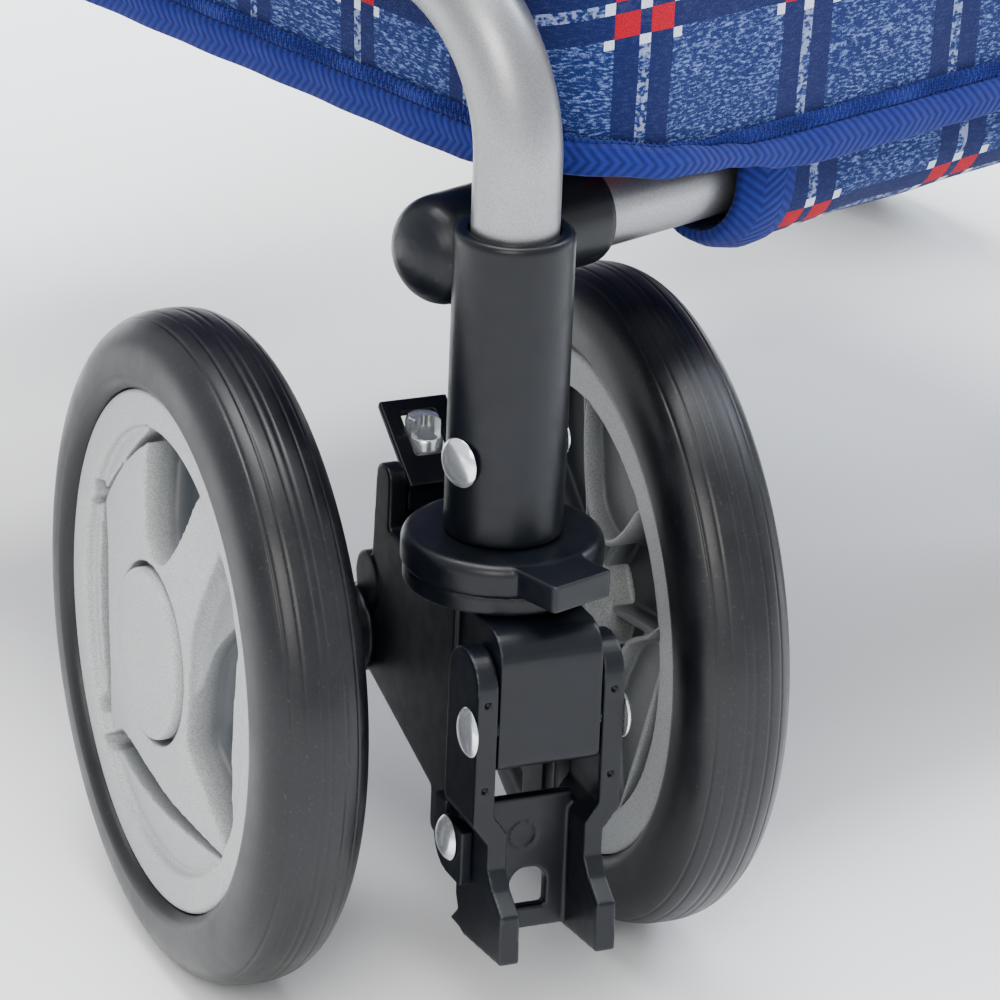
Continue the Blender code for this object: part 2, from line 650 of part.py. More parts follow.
def bag_lid():
    """The lid flap, hinged along the bag's back edge and hanging over its front."""
    low = BAG_TOP + GAP
    high = low + LID_THICK
    front = BAG_FRONT - 5
    outline = [(BAG_BACK, low), (BAG_BACK, high), (front - LID_THICK + 2, high), (front - LID_THICK, high - 3)]
    outline += [(front - LID_THICK, high - LID_FLAP), (front, high - LID_FLAP), (front, low)]
    slab = prism(outline, -BAG_HALF, BAG_HALF)
    trim = filleted([((-BAG_HALF, -60), 0), ((BAG_HALF, -60), 0), ((BAG_HALF, BAG_BACK), BAG_CORNER),
                     ((-BAG_HALF, BAG_BACK), BAG_CORNER)], 5)
    steps = [("INTERSECT", prism(trim, BAG_TOP - 200, high + 20, "Z"))]
    add("bag_lid", slab, "tartan_cloth", CENTRE, (0, BAG_BACK, low), steps)


def build():
    for side, place in SIDES.items():
        for piece in (stem_bracket, stem_rivet, side_tube, swivel_collar, kingpin):
            piece(side, place)
        caster(side, place @ HEADING)
        for piece in (rear_connector, rear_upright, rear_foot, rear_axle, rear_wheel, height_collar):
            piece(side, place)
    cross_tube("front_cross_tube", CROSS_SETBACK)
    cross_tube("rear_cross_tube", WHEELBASE - REAR_CROSS_AHEAD)
    brake_bar()
    handle()
    bag()
    bag_lid()


for existing in list(bpy.data.objects):
    bpy.data.objects.remove(existing, do_unlink=True)
build()
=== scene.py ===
"""Looks of the shopping trolley on wheels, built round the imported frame.

Lengths are in millimetres until a piece is placed. A caster is modelled about its own stem axis, straight
ahead with its front towards -Y, then turned to its heading. The right side mirrors the left.
"""

import json
import math

import bmesh
import bpy
from mathutils import Matrix, Vector, noise


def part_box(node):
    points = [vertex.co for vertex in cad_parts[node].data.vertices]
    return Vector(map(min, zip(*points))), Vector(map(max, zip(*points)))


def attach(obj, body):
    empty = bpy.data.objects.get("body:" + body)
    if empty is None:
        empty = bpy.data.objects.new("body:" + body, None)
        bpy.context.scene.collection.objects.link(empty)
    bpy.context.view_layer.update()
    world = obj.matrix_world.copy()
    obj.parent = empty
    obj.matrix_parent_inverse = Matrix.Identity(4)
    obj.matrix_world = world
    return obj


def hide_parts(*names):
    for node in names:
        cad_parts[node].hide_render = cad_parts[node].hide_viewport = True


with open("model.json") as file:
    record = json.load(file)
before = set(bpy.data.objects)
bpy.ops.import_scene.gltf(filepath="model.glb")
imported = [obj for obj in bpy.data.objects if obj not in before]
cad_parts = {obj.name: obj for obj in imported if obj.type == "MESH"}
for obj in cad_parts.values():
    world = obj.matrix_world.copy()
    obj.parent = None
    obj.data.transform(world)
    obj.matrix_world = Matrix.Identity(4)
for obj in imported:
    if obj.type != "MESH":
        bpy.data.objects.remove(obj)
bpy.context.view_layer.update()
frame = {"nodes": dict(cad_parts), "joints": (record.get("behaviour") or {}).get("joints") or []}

MM = 0.001


def middle(node):
    """The centre of a CAD node's box, in metres."""
    low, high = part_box(node)
    return (low + high) / 2


def span(node):
    """The size of a CAD node's box, in millimetres."""
    low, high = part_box(node)
    return (high - low) / MM


def joint(name):
    return next(entry for entry in frame["joints"] if entry["name"] == name)


# Places that follow the frame ----------------------------------------------

STEM = middle("left_kingpin")
CENTRE = Matrix.Translation((0, STEM.y, 0)) @ Matrix.Scale(MM, 4)
LEFT = Matrix.Translation((STEM.x, STEM.y, 0)) @ Matrix.Scale(MM, 4)
MIRROR = Matrix.Scale(-1, 4, (1, 0, 0))
SIDES = {"left": LEFT, "right": MIRROR @ LEFT}
WHEEL_AXIS = Vector(joint("left_outer_wheel_spin")["axis"])
HEADING = Matrix.Rotation(math.atan(WHEEL_AXIS.y / WHEEL_AXIS.x), 4, "Z")

STEM_HALF = -STEM.x / MM
WHEELBASE = (middle("left_rear_upright").y - STEM.y) / MM
HANDLE_BACK = (middle("handle_grip").y - STEM.y) / MM
HANDLE_TOP = middle("handle_grip").z / MM
TUBE_R = 9.5
RAIL_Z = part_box("left_side_tube")[1].z / MM - TUBE_R
CROSS_Z = middle("front_cross_tube").z / MM
CROSS_BACK = (middle("front_cross_tube").y - STEM.y) / MM
REAR_CROSS_BACK = (middle("rear_cross_tube").y - STEM.y) / MM
AXLE_Z = middle("left_outer_tyre").z / MM
REAR_AXLE_Z = middle("left_rear_tyre").z / MM
TYRE_R = span("left_outer_tyre").z / 2
REAR_WHEEL_OUT = -middle("left_rear_tyre").x / MM - STEM_HALF

UPRIGHT_R = 11.3
UPRIGHT_TOP = 600.0
HANDLE_FOOT = 430.0
HANDLE_BEND = 880.0
TUBE_WALL = 1.2
GAP = 0.3
TRAIL = 48.75
TRACK = 98.3
RIM_R = 58.2
REAR_RIM_R = 70.0
AXLE_R = 4.0
SLEEVE_R = 13.0
SLEEVE_TOP = 186.0
BARREL_R = 12.0
COLLAR_TOP = 117.0
STEM_RIVET_Z = 135.5
FORK_TOP = 104.6
POST_TOP = 118.5
PEDAL_PIVOT = (26.4, 82.75)
PLATE_RIVET = (15.0, 52.7)
LEVER_PIVOT = (-36.5, 110.0)
LEVER_FRONT = (-34.4, 112.6)
LEVER_BACK = (-54.3, 124.8)

BAG_HALF = span("bag_body").x / 2
BAG_FRONT = (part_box("bag_body")[0].y - STEM.y) / MM
BAG_BACK = (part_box("bag_body")[1].y - STEM.y) / MM
BAG_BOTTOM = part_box("bag_body")[0].z / MM
BAG_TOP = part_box("bag_body")[1].z / MM
BAG_CORNER = 30.0
PAIR_Z = 230.2
SIDE_LOWER = 7.2
SIDE_SETT = 1.34
FRONT_PHASE = 60.0
# Inward from the stem: where the front binding's lower and upper edges run, above the bag's bottom.
FRONT_EDGE = ((12, 4.0, 11.6), (27, 3.4, 10.8), (42, 1.2, 8.2), (57, -0.3, 5.3), (66, -1.8, 3.5),
              (75, -4.3, 3.1), (84, -5.3, 3.0), (140, -5.6, 2.8), (200, -6.2, 2.4))
SLEEVE_PAIR_X = 94.5
SLEEVE_PAIR_RUN = 53.0

# Camera, light and floor ----------------------------------------------------

CAMERA_AZIMUTH = -42.918
CAMERA_ELEVATION = 22.949
CAMERA_ROLL = 2.346
CAMERA_LENS = 259.05
CAMERA_DISTANCE = 1.5512
CAMERA_AIM = Vector((5.1, 6.8, 119.9)) * MM


def add_camera():
    azimuth, elevation, roll = (math.radians(v) for v in (CAMERA_AZIMUTH, CAMERA_ELEVATION, CAMERA_ROLL))
    back = Vector((math.sin(azimuth) * math.cos(elevation), -math.cos(azimuth) * math.cos(elevation),
                   math.sin(elevation)))
    right = Vector((math.cos(azimuth), math.sin(azimuth), 0))
    up = back.cross(right)
    right, up = (right * math.cos(roll) + up * math.sin(roll), up * math.cos(roll) - right * math.sin(roll))
    data = bpy.data.cameras.new("camera")
    data.lens = CAMERA_LENS
    data.sensor_width = 36
    data.clip_start, data.clip_end = 0.05, 50
    camera = bpy.data.objects.new("camera", data)
    bpy.context.scene.collection.objects.link(camera)
    turn = Matrix((right, up, back)).transposed().to_4x4()
    aim = Vector((STEM.x, STEM.y, 0)) + CAMERA_AIM
    camera.matrix_world = Matrix.Translation(aim + back * CAMERA_DISTANCE) @ turn
    bpy.context.scene.camera = camera


def add_light(name, place, power, size, colour, aim=(0, 0, 0.25)):
    data = bpy.data.lights.new(name, "AREA")
    data.energy = power
    data.size = size
    data.color = colour
    light = bpy.data.objects.new(name, data)
    bpy.context.scene.collection.objects.link(light)
    light.location = place
    light.rotation_euler = (Vector(aim) - Vector(place)).to_track_quat("-Z", "Y").to_euler()


def add_stage():
    """A pale seamless floor, two soft side lights, an overhead light and a bright even surround."""
    world = bpy.data.worlds.new("surround")
    bpy.context.scene.world = world
    world.use_nodes = True
    sky = world.node_tree.nodes["Background"]
    sky.inputs["Color"].default_value = (0.92, 0.96, 1.0, 1)
    sky.inputs["Strength"].default_value = 1.35
    add_light("left key", (-1.9, -1.5, 1.7), 50, 1.3, (1.0, 0.96, 0.90))
    add_light("right sky", (1.6, -0.4, 1.9), 50, 1.2, (0.78, 0.87, 1.0))
    add_light("overhead", (0.0, 0.2, 2.6), 150, 1.8, (0.98, 0.99, 1.0))
    mesh = bmesh.new()
    bmesh.ops.create_grid(mesh, x_segments=1, y_segments=1, size=12)
    data = bpy.data.meshes.new("floor")
    mesh.to_mesh(data)
    mesh.free()
    floor = bpy.data.objects.new("floor", data)
    bpy.context.scene.collection.objects.link(floor)
    data.materials.append(FINISHES["floor"])


# Materials --------------------------------------------------------------------


def srgb(red, green, blue):
    """A colour from its 0 to 255 screen values."""
    def linear(value):
        share = value / 255
        return share / 12.92 if share <= 0.04045 else ((share + 0.055) / 1.055) ** 2.4
    return (linear(red), linear(green), linear(blue), 1)


class Finish:
    """A material's node tree, with short calls for the nodes that these finishes use."""

    def __init__(self, name, **settings):
        self.material = bpy.data.materials.new(name)
        self.material.use_nodes = True
        self.tree = self.material.node_tree
        self.shader = self.tree.nodes["Principled BSDF"]
        for label, value in settings.items():
            self.shader.inputs[label.replace("_", " ")].default_value = value
        self.place = self.tree.nodes.new("ShaderNodeTexCoord")

    def feed(self, socket, value):
        if isinstance(value, bpy.types.NodeSocket):
            self.tree.links.new(value, socket)
        else:
            socket.default_value = value

    def calc(self, operation, *values):
        made = self.tree.nodes.new("ShaderNodeMath")
        made.operation = operation
        for socket, value in zip(made.inputs, values):
            self.feed(socket, value)
        return made.outputs[0]

    def noise(self, scale, detail=3.0, stretch=None, rough=0.5):
        made = self.tree.nodes.new("ShaderNodeTexNoise")
        made.inputs["Scale"].default_value = scale
        made.inputs["Detail"].default_value = detail
        made.inputs["Roughness"].default_value = rough
        source = self.place.outputs["Object"]
        if stretch:
            shift = self.tree.nodes.new("ShaderNodeMapping")
            self.tree.links.new(source, shift.inputs["Vector"])
            shift.inputs["Scale"].default_value = stretch
            source = shift.outputs["Vector"]
        self.tree.links.new(source, made.inputs["Vector"])
        return made.outputs["Fac"]

    def ranged(self, value, low, high, to_low=0.0, to_high=1.0):
        made = self.tree.nodes.new("ShaderNodeMapRange")
        self.feed(made.inputs["Value"], value)
        limits = {"From Min": low, "From Max": high, "To Min": to_low, "To Max": to_high}
        for label, number in limits.items():
            made.inputs[label].default_value = number
        return made.outputs["Result"]

    def mix(self, share, first, second):
        made = self.tree.nodes.new("ShaderNodeMix")
        made.data_type = "RGBA"
        self.feed(made.inputs[0], share)
        self.feed(made.inputs[6], first)
        self.feed(made.inputs[7], second)
        return made.outputs[2]

    def bump(self, height, strength, depth_mm, under=None):
        made = self.tree.nodes.new("ShaderNodeBump")
        made.inputs["Strength"].default_value = strength
        made.inputs["Distance"].default_value = depth_mm * MM
        self.tree.links.new(height, made.inputs["Height"])
        if under:
            self.tree.links.new(under, made.inputs["Normal"])
        return made.outputs["Normal"]

    def uv(self):
        """The two texture directions, in millimetres along the piece."""
        made = self.tree.nodes.new("ShaderNodeSeparateXYZ")
        self.tree.links.new(self.place.outputs["UV"], made.inputs[0])
        return [self.calc("MULTIPLY", made.outputs[axis], 1 / MM) for axis in (0, 1)]

    def edges(self):
        """How far a surface bends outward: 0.5 where it is flat, more on an edge."""
        made = self.tree.nodes.new("ShaderNodeNewGeometry")
        return made.outputs["Pointiness"]

    def field(self, name):
        """A value carried by the mesh itself, 0 where the mesh has none."""
        made = self.tree.nodes.new("ShaderNodeAttribute")
        made.attribute_name = name
        return made.outputs["Fac"]

    def colour(self, value):
        self.feed(self.shader.inputs["Base Color"], value)

    def roughness(self, value):
        self.feed(self.shader.inputs["Roughness"], value)

    def normal(self, value):
        self.feed(self.shader.inputs["Normal"], value)


def moulded(name, dark, light, rough):
    """Moulded plastic: a fine even grain, faint cloudiness and a painted highlight that makes its edges
    lighter.
    """
    finish = Finish(name, Specular_IOR_Level=0.24)
    cloud = finish.ranged(finish.noise(40, 4), 0.35, 0.65)
    base = finish.mix(cloud, dark, light)
    # painted highlight: edges lighter, by how far the surface bends outward
    edge_highlight = finish.ranged(finish.edges(), 0.52, 0.60, 0.0, 0.35)
    highlight_tint = tuple(min(1, channel * 2.2 + 0.02) for channel in light[:3]) + (1,)
    finish.colour(finish.mix(edge_highlight, base, highlight_tint))
    finish.roughness(finish.ranged(finish.noise(220, 3), 0.3, 0.7, rough - 0.06, rough + 0.06))
    finish.normal(finish.bump(finish.noise(900, 2), 0.25, 0.05))
    return finish.material


def rim_plastic(name):
    """Pale grey plastic with a fine fleck, and painted shade that darkens its recesses."""
    finish = Finish(name)
    fleck = finish.ranged(finish.noise(2600, 2), 0.42, 0.58)
    cloud = finish.ranged(finish.noise(30, 3), 0.3, 0.7)
    base = finish.mix(fleck, srgb(138, 141, 142), srgb(164, 166, 165))
    base = finish.mix(finish.calc("MULTIPLY", cloud, 0.25), base, srgb(130, 135, 141))
    # painted shade: the recesses darkened towards dark grey by the mesh's recess value
    finish.colour(finish.mix(finish.field("recess"), base, srgb(48, 52, 57)))
    finish.roughness(finish.ranged(cloud, 0, 1, 0.40, 0.48))
    finish.normal(finish.bump(finish.noise(1500, 2), 0.15, 0.05))
    return finish.material


def tyre_rubber(name):
    """Dark blue-grey rubber, dusty in places, with fine lines round the tread."""
    finish = Finish(name, Specular_IOR_Level=0.3)
    dust = finish.ranged(finish.noise(55, 6, rough=0.65), 0.40, 0.72)
    specks = finish.ranged(finish.noise(1400, 2), 0.62, 0.74, 0, 0.5)
    base = finish.mix(finish.calc("MULTIPLY", dust, 0.6), srgb(9, 10, 14), srgb(25, 25, 28))
    finish.colour(finish.mix(specks, base, srgb(52, 52, 55)))
    finish.roughness(finish.ranged(dust, 0, 1, 0.33, 0.46))
    finish.normal(finish.bump(finish.noise(700, 3), 0.18, 0.06))
    return finish.material


def satin_metal(name):
    """Silver satin tube with a very fine sparkle."""
    finish = Finish(name, Metallic=0.9)
    sparkle = finish.ranged(finish.noise(5200, 1), 0.35, 0.65)
    finish.colour(finish.mix(sparkle, srgb(122, 123, 126), srgb(150, 150, 152)))
    finish.roughness(finish.ranged(finish.noise(90, 4), 0.3, 0.7, 0.34, 0.42))
    finish.normal(finish.bump(finish.noise(3200, 1), 0.12, 0.03))
    return finish.material


def bright_metal(name):
    """Bright plated steel with faint hammering and dulled patches."""
    finish = Finish(name, Metallic=0.85)
    patch = finish.ranged(finish.noise(300, 4), 0.35, 0.7)
    finish.colour(finish.mix(patch, srgb(224, 226, 230), srgb(188, 192, 198)))
    finish.roughness(finish.ranged(patch, 0, 1, 0.16, 0.28))
    finish.normal(finish.bump(finish.noise(260, 2), 0.2, 0.12))
    return finish.material


def tartan(name):
    """Denim-blue cloth: paired navy stripes both ways, red blocks where they cross, white corner ticks."""
    finish = Finish(name, Roughness=0.88, Sheen_Weight=0.06, Sheen_Roughness=0.5, Specular_IOR_Level=0.10)
    period, bar, gap, tick, thread_pitch = 47.0, 5.9, 1.4, 2.3, 0.7
    across, up = finish.uv()
    bars, ticks, gaps = [], [], []
    for along in (across, up):
        distance = finish.calc("PINGPONG", along, period / 2)
        centre = finish.calc("LESS_THAN", distance, gap)
        paired = finish.calc("LESS_THAN", distance, gap + bar)
        beyond = finish.calc("LESS_THAN", distance, gap + bar + tick)
        bars.append(finish.calc("SUBTRACT", paired, centre))
        ticks.append(finish.calc("ADD", finish.calc("SUBTRACT", beyond, paired), centre))
        gaps.append(centre)
    streak = finish.noise(900, 5, (1.0, 0.6, 1.6), rough=0.78)
    thread = finish.noise(1100, 3, (0.5, 0.5, 1.8))
    pale = finish.ranged(finish.calc("ADD", streak, finish.calc("MULTIPLY", thread, 0.8)), 0.90, 1.10)
    ground = finish.mix(pale, srgb(18, 32, 80), srgb(96, 116, 166))
    dotted = finish.ranged(finish.noise(700, 1), 0.48, 0.58, 0.0, 0.6)
    strip = finish.calc("MULTIPLY", finish.calc("MAXIMUM", gaps[0], gaps[1]), dotted)
    ground = finish.mix(strip, ground, srgb(138, 150, 182))
    navy = finish.calc("MULTIPLY", finish.calc("MAXIMUM", bars[0], bars[1]), 0.93)
    ground = finish.mix(navy, ground, srgb(16, 24, 68))
    ground = finish.mix(finish.calc("MULTIPLY", bars[0], bars[1]), ground, srgb(150, 6, 32))
    ground = finish.mix(finish.calc("MULTIPLY", ticks[0], ticks[1]), ground, srgb(186, 194, 210))
    finish.colour(ground)
    weft = finish.calc("SINE", finish.calc("MULTIPLY", across, 2 * math.pi / thread_pitch))
    warp = finish.calc("SINE", finish.calc("MULTIPLY", up, 2 * math.pi / thread_pitch))
    weave = finish.bump(finish.calc("MULTIPLY", weft, warp), 0.35, 0.12)
    finish.normal(finish.bump(streak, 0.25, 0.3, weave))
    return finish.material


def ribbed_tape(name, dark, light, pitch, slant, wide):
    """Woven tape: slanted ribs that turn back along a line, as a herringbone, lighter on the ridges and
    darker in the grooves as painted shade.
    """
    finish = Finish(name, Roughness=0.8, Sheen_Weight=0.06, Specular_IOR_Level=0.12)
    along, across = finish.uv()
    fold = finish.calc("PINGPONG", across, wide)
    slanted = finish.calc("ADD", along, finish.calc("MULTIPLY", fold, slant))
    ribs = finish.calc("SINE", finish.calc("MULTIPLY", slanted, 2 * math.pi / pitch))
    height = finish.ranged(ribs, -1, 1)
    # painted shade: the colour follows the rib height, darker in the grooves, with a random tone from noise
    groove_shade_and_tone = finish.calc("MULTIPLY", finish.calc("ADD", height, finish.noise(600, 3)), 0.5)
    finish.colour(finish.mix(groove_shade_and_tone, dark, light))
    finish.normal(finish.bump(height, 0.6, 0.35))
    return finish.material


def soft_foam(name):
    finish = Finish(name, Roughness=0.85, Specular_IOR_Level=0.3)
    cells = finish.noise(1500, 4)
    # a random tone that follows the cells' bump, so the pits are darker as painted shade
    finish.colour(finish.mix(cells, srgb(38, 40, 44), srgb(62, 64, 68)))
    finish.normal(finish.bump(cells, 0.5, 0.3))
    return finish.material


def pale_floor(name):
    finish = Finish(name, Roughness=0.7, Specular_IOR_Level=0.15)
    cloud = finish.noise(3, 3)
    finish.colour(finish.mix(cloud, (0.95, 0.95, 0.95, 1), (0.97, 0.97, 0.97, 1)))
    return finish.material


FINISHES = {
    "black_plastic": moulded("black_plastic_look", srgb(4, 6, 11), srgb(7, 10, 17), 0.36),
    "steel": bright_metal("steel_look"),
    "silver_tube": satin_metal("silver_tube_look"),
    "tyre_rubber": tyre_rubber("tyre_rubber_look"),
    "grey_plastic": rim_plastic("grey_plastic_look"),
    "tartan_cloth": tartan("tartan_look"),
    "tape": ribbed_tape("tape_look", srgb(8, 14, 60), srgb(26, 40, 122), 2.3, 0.8, 5.0),
    "thread": ribbed_tape("thread_look", srgb(10, 18, 70), srgb(32, 48, 134), 0.8, 0.5, 1.0),
    "foam": soft_foam("foam_look"),
    "floor": pale_floor("floor_look"),
}

# Geometry -------------------------------------------------------------------


def axes(normal):
    """The two in-plane axes and the extrusion axis for an outline seen along X, Y or Z."""
    x, y, z = Vector((1, 0, 0)), Vector((0, 1, 0)), Vector((0, 0, 1))
    return {"X": (y, z, x), "Y": (x, z, y), "Z": (x, y, z)}[normal]


def closed(mesh):
    bmesh.ops.recalc_face_normals(mesh, faces=mesh.faces[:])
    return mesh


def arc(centre, radius, start, end, steps):
    """Points on an arc, angles in degrees."""
    points = []
    for step in range(steps + 1):
        angle = math.radians(start + (end - start) * step / steps)
        points.append((centre[0] + radius * math.cos(angle), centre[1] + radius * math.sin(angle)))
    return points


def filleted(corners, steps=8, loop=True):
    """A polyline of (point, radius) corners, each rounded by an arc. Points have 2 or 3 values."""
    points = []
    count = len(corners)
    for index, (corner, radius) in enumerate(corners):
        at = Vector(corner)
        if radius == 0 or (not loop and index in (0, count - 1)):
            points.append(at)
            continue
        before = (Vector(corners[index - 1][0]) - at).normalized()
        after = (Vector(corners[(index + 1) % count][0]) - at).normalized()
        half = before.angle(after) / 2
        centre = at + (before + after).normalized() * radius / math.sin(half)
        first = at + before * radius / math.tan(half) - centre
        last = at + after * radius / math.tan(half) - centre
        sweep = first.angle(last)
        for step in range(steps + 1):
            share = step / steps
            near = math.sin((1 - share) * sweep) / math.sin(sweep)
            far = math.sin(share * sweep) / math.sin(sweep)
            points.append(centre + first * near + last * far)
    return points


def smooth_loop(points, steps=6):
    """A closed curve through points, by Catmull-Rom."""
    made = []
    count = len(points)
    for index in range(count):
        a, b, c, d = (Vector(points[(index + shift) % count]) for shift in (-1, 0, 1, 2))
        for step in range(steps):
            t = step / steps
            made.append(0.5 * ((2 * b) + (c - a) * t + (2 * a - 5 * b + 4 * c - d) * t * t
                               + (3 * b - a - 3 * c + d) * t ** 3))
    return made


def loft(rings, capped=True):
    """A solid through rings of 3-D points that all have the same count."""
    mesh = bmesh.new()
    rows = [[mesh.verts.new(point) for point in ring] for ring in rings]
    if capped:
        mesh.faces.new(rows[0])
        mesh.faces.new(rows[-1])
    for low, high in zip(rows, rows[1:]):
        for index in range(len(low)):
            ahead = (index + 1) % len(low)
            mesh.faces.new((low[index], low[ahead], high[ahead], high[index]))
    return closed(mesh)


def prism(outline, low, high, normal="X"):
    """A solid with this outline, from low to high along the axis that it is seen along."""
    right, up, along = axes(normal)
    return loft([[right * p[0] + up * p[1] + along * height for p in outline] for height in (low, high)])


def box(x, y, z):
    """A block from its three (low, high) spans."""
    return prism([(y[0], z[0]), (y[1], z[0]), (y[1], z[1]), (y[0], z[1])], x[0], x[1])


def turned(profile, segments=64, axis="Z", centre=(0, 0), ring=False):
    """A solid of revolution: profile is (radius, height) points along the axis. A ring never meets it."""
    right, up, along = axes(axis)
    middle_at = right * centre[0] + up * centre[1]
    mesh = bmesh.new()
    rows = []
    for radius, height in profile:
        if radius == 0:
            rows.append([mesh.verts.new(middle_at + along * height)] * segments)
            continue
        row = []
        for index in range(segments):
            turn = 2 * math.pi * index / segments
            spoke = right * math.cos(turn) + up * math.sin(turn)
            row.append(mesh.verts.new(middle_at + spoke * radius + along * height))
        rows.append(row)
    pairs = list(zip(rows, rows[1:]))
    if ring:
        pairs.append((rows[-1], rows[0]))
    for low, high in pairs:
        for index in range(segments):
            ahead = (index + 1) % segments
            corners = (low[index], low[ahead], high[ahead], high[index])
            mesh.faces.new(list(dict.fromkeys(corners)))
    return closed(mesh)


def rod(radius, low, high, axis="Z", centre=(0, 0), segments=48):
    return turned([(0, low), (radius, low), (radius, high), (0, high)], segments, axis, centre)


def textured_face(mesh, verts, places):
    """A face whose corners have these texture places, in millimetres."""
    layer = mesh.loops.layers.uv.verify()
    face = mesh.faces.new(verts)
    for corner, place in zip(face.loops, places):
        corner[layer].uv = (place[0] * MM, place[1] * MM)


def sweep(path, section, loop=False):
    """A closed section of (up, across) points carried along a 3-D path, with its texture places."""
    mesh = bmesh.new()
    mesh.loops.layers.uv.new("UVMap")
    side = Vector((0, 0, 1))
    count = len(path)
    rows, distances, travelled = [], [], 0.0
    for index, point in enumerate(path):
        if loop:
            heading = (path[(index + 1) % count] - path[index - 1]).normalized()
        else:
            heading = (path[min(index + 1, count - 1)] - path[max(index - 1, 0)]).normalized()
        side = (side - heading * side.dot(heading)).normalized()
        other = heading.cross(side)
        rows.append([mesh.verts.new(point + side * p[0] + other * p[1]) for p in section])
        if index:
            travelled += (point - path[index - 1]).length
        distances.append(travelled)
    round_the_section = [0.0]
    for index, point in enumerate(section):
        ahead = section[(index + 1) % len(section)]
        round_the_section.append(round_the_section[-1] + math.dist(point, ahead))
    pairs = [(index, index + 1) for index in range(count - 1)]
    if loop:
        pairs.append((count - 1, 0))
        distances.append(travelled + (path[0] - path[-1]).length)
    for first, last in pairs:
        near, far = distances[first], distances[first + 1]
        for index in range(len(section)):
            ahead = (index + 1) % len(section)
            low, high = round_the_section[index:index + 2]
            verts = (rows[first][index], rows[first][ahead], rows[last][ahead], rows[last][index])
            textured_face(mesh, verts, ((near, low), (near, high), (far, high), (far, low)))
    if not loop:
        mesh.faces.new(rows[0])
        mesh.faces.new(rows[-1])
    return closed(mesh)


def circle(radius, steps=40):
    return arc((0, 0), radius, 0, 360 - 360 / steps, steps - 1)


def hollow_tube(path, radius, bore, steps=40):
    """A tube with an open bore, along a 3-D path."""
    mesh = bmesh.new()
    side = Vector((1, 0, 0))
    last = len(path) - 1
    rows = {radius: [], bore: []}
    for index, point in enumerate(path):
        heading = (path[min(index + 1, last)] - path[max(index - 1, 0)]).normalized()
        side = (side - heading * side.dot(heading)).normalized()
        other = heading.cross(side)
        for reach, rings in rows.items():
            rings.append([mesh.verts.new(point + side * x + other * y) for x, y in circle(reach, steps)])
    out, inn = rows[radius], rows[bore]
    for low, high in [*zip(out, out[1:]), *zip(inn[1:], inn), (inn[0], out[0]), (out[-1], inn[-1])]:
        for turn in range(steps):
            ahead = (turn + 1) % steps
            mesh.faces.new((low[turn], low[ahead], high[ahead], high[turn]))
    return closed(mesh)


def side_view(corners, steps=8):
    """An outline in (forward, up, radius) corners, as (Y, Z) points: forward is -Y."""
    return filleted([((-forward, up), radius) for forward, up, radius in corners], steps)


def temporary(name, mesh):
    data = bpy.data.meshes.new(name)
    mesh.to_mesh(data)
    mesh.free()
    obj = bpy.data.objects.new(name, data)
    bpy.context.scene.collection.objects.link(obj)
    return obj


def applied(obj, extras=()):
    """The object's mesh with its modifiers applied; the object and its guides are removed."""
    bpy.context.view_layer.update()
    graph = bpy.context.evaluated_depsgraph_get()
    result = bpy.data.meshes.new_from_object(obj.evaluated_get(graph), depsgraph=graph)
    mesh = bmesh.new()
    mesh.from_mesh(result)
    for item in (obj, *extras):
        data = item.data
        bpy.data.objects.remove(item)
        bpy.data.meshes.remove(data)
    bpy.data.meshes.remove(result)
    return mesh


def carved(base, steps):
    """The mesh left after each (operation, solid) step."""
    obj = temporary("carved", base)
    guides = []
    for operation, solid in steps:
        guide = temporary("guide", solid)
        guides.append(guide)
        modifier = obj.modifiers.new("step", "BOOLEAN")
        modifier.operation = operation
        modifier.object = guide
        modifier.solver = "MANIFOLD"
    return applied(obj, guides)


def softened(mesh, voxel=0.45, rounds=5, keep=0.5):
    """A moulded look: every edge slightly rounded, by remeshing at voxel mm and smoothing."""
    obj = temporary("softened", mesh)
    remesh = obj.modifiers.new("remesh", "REMESH")
    remesh.mode = "VOXEL"
    remesh.voxel_size = voxel
    smooth = obj.modifiers.new("smooth", "SMOOTH")
    smooth.factor = 0.5
    smooth.iterations = rounds
    fewer = obj.modifiers.new("fewer", "DECIMATE")
    fewer.ratio = keep
    return applied(obj)


# Placing --------------------------------------------------------------------


def place_piece(name, mesh, finish, body, nodes=(), place=CENTRE, sharp=40):
    """Puts a mesh made in millimetres into the frame, riding on a body and standing for its CAD nodes."""
    made = mesh.copy()
    made.transform(place)
    if place.determinant() < 0:
        bmesh.ops.reverse_faces(made, faces=made.faces[:])
    data = bpy.data.meshes.new(name)
    made.to_mesh(data)
    made.free()
    data.shade_smooth()
    if sharp:
        data.set_sharp_from_angle(angle=math.radians(sharp))
    obj = bpy.data.objects.new(name, data)
    bpy.context.scene.collection.objects.link(obj)
    data.materials.append(FINISHES[finish])
    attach(obj, body)
    if nodes:
        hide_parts(*nodes)
    return obj


def both_sides(name, mesh, finish, body, nodes, turn=Matrix.Identity(4)):
    """Places one mesh on the left and its mirror image on the right. '{side}' in names is filled in."""
    for side, place in SIDES.items():
        stands_for = [node.format(side=side) for node in nodes]
        rides = body.format(side=side)
        place_piece(f"{side}_{name}", mesh, finish, rides, stands_for, place @ turn)
    mesh.free()


# Front corner ---------------------------------------------------------------


def barrel_profile():
    """A connector's barrel: a domed end outward and, inward, an end with a rolled edge."""
    turns = [math.pi / 2 * step / 8 for step in range(9)]
    domed = [(BARREL_R * math.sin(turn), -1 - 9.5 * math.cos(turn)) for turn in turns]
    return domed + [(BARREL_R, 38.5), (11.6, 39.6), (10.6, 40.2), (0, 40.2)]


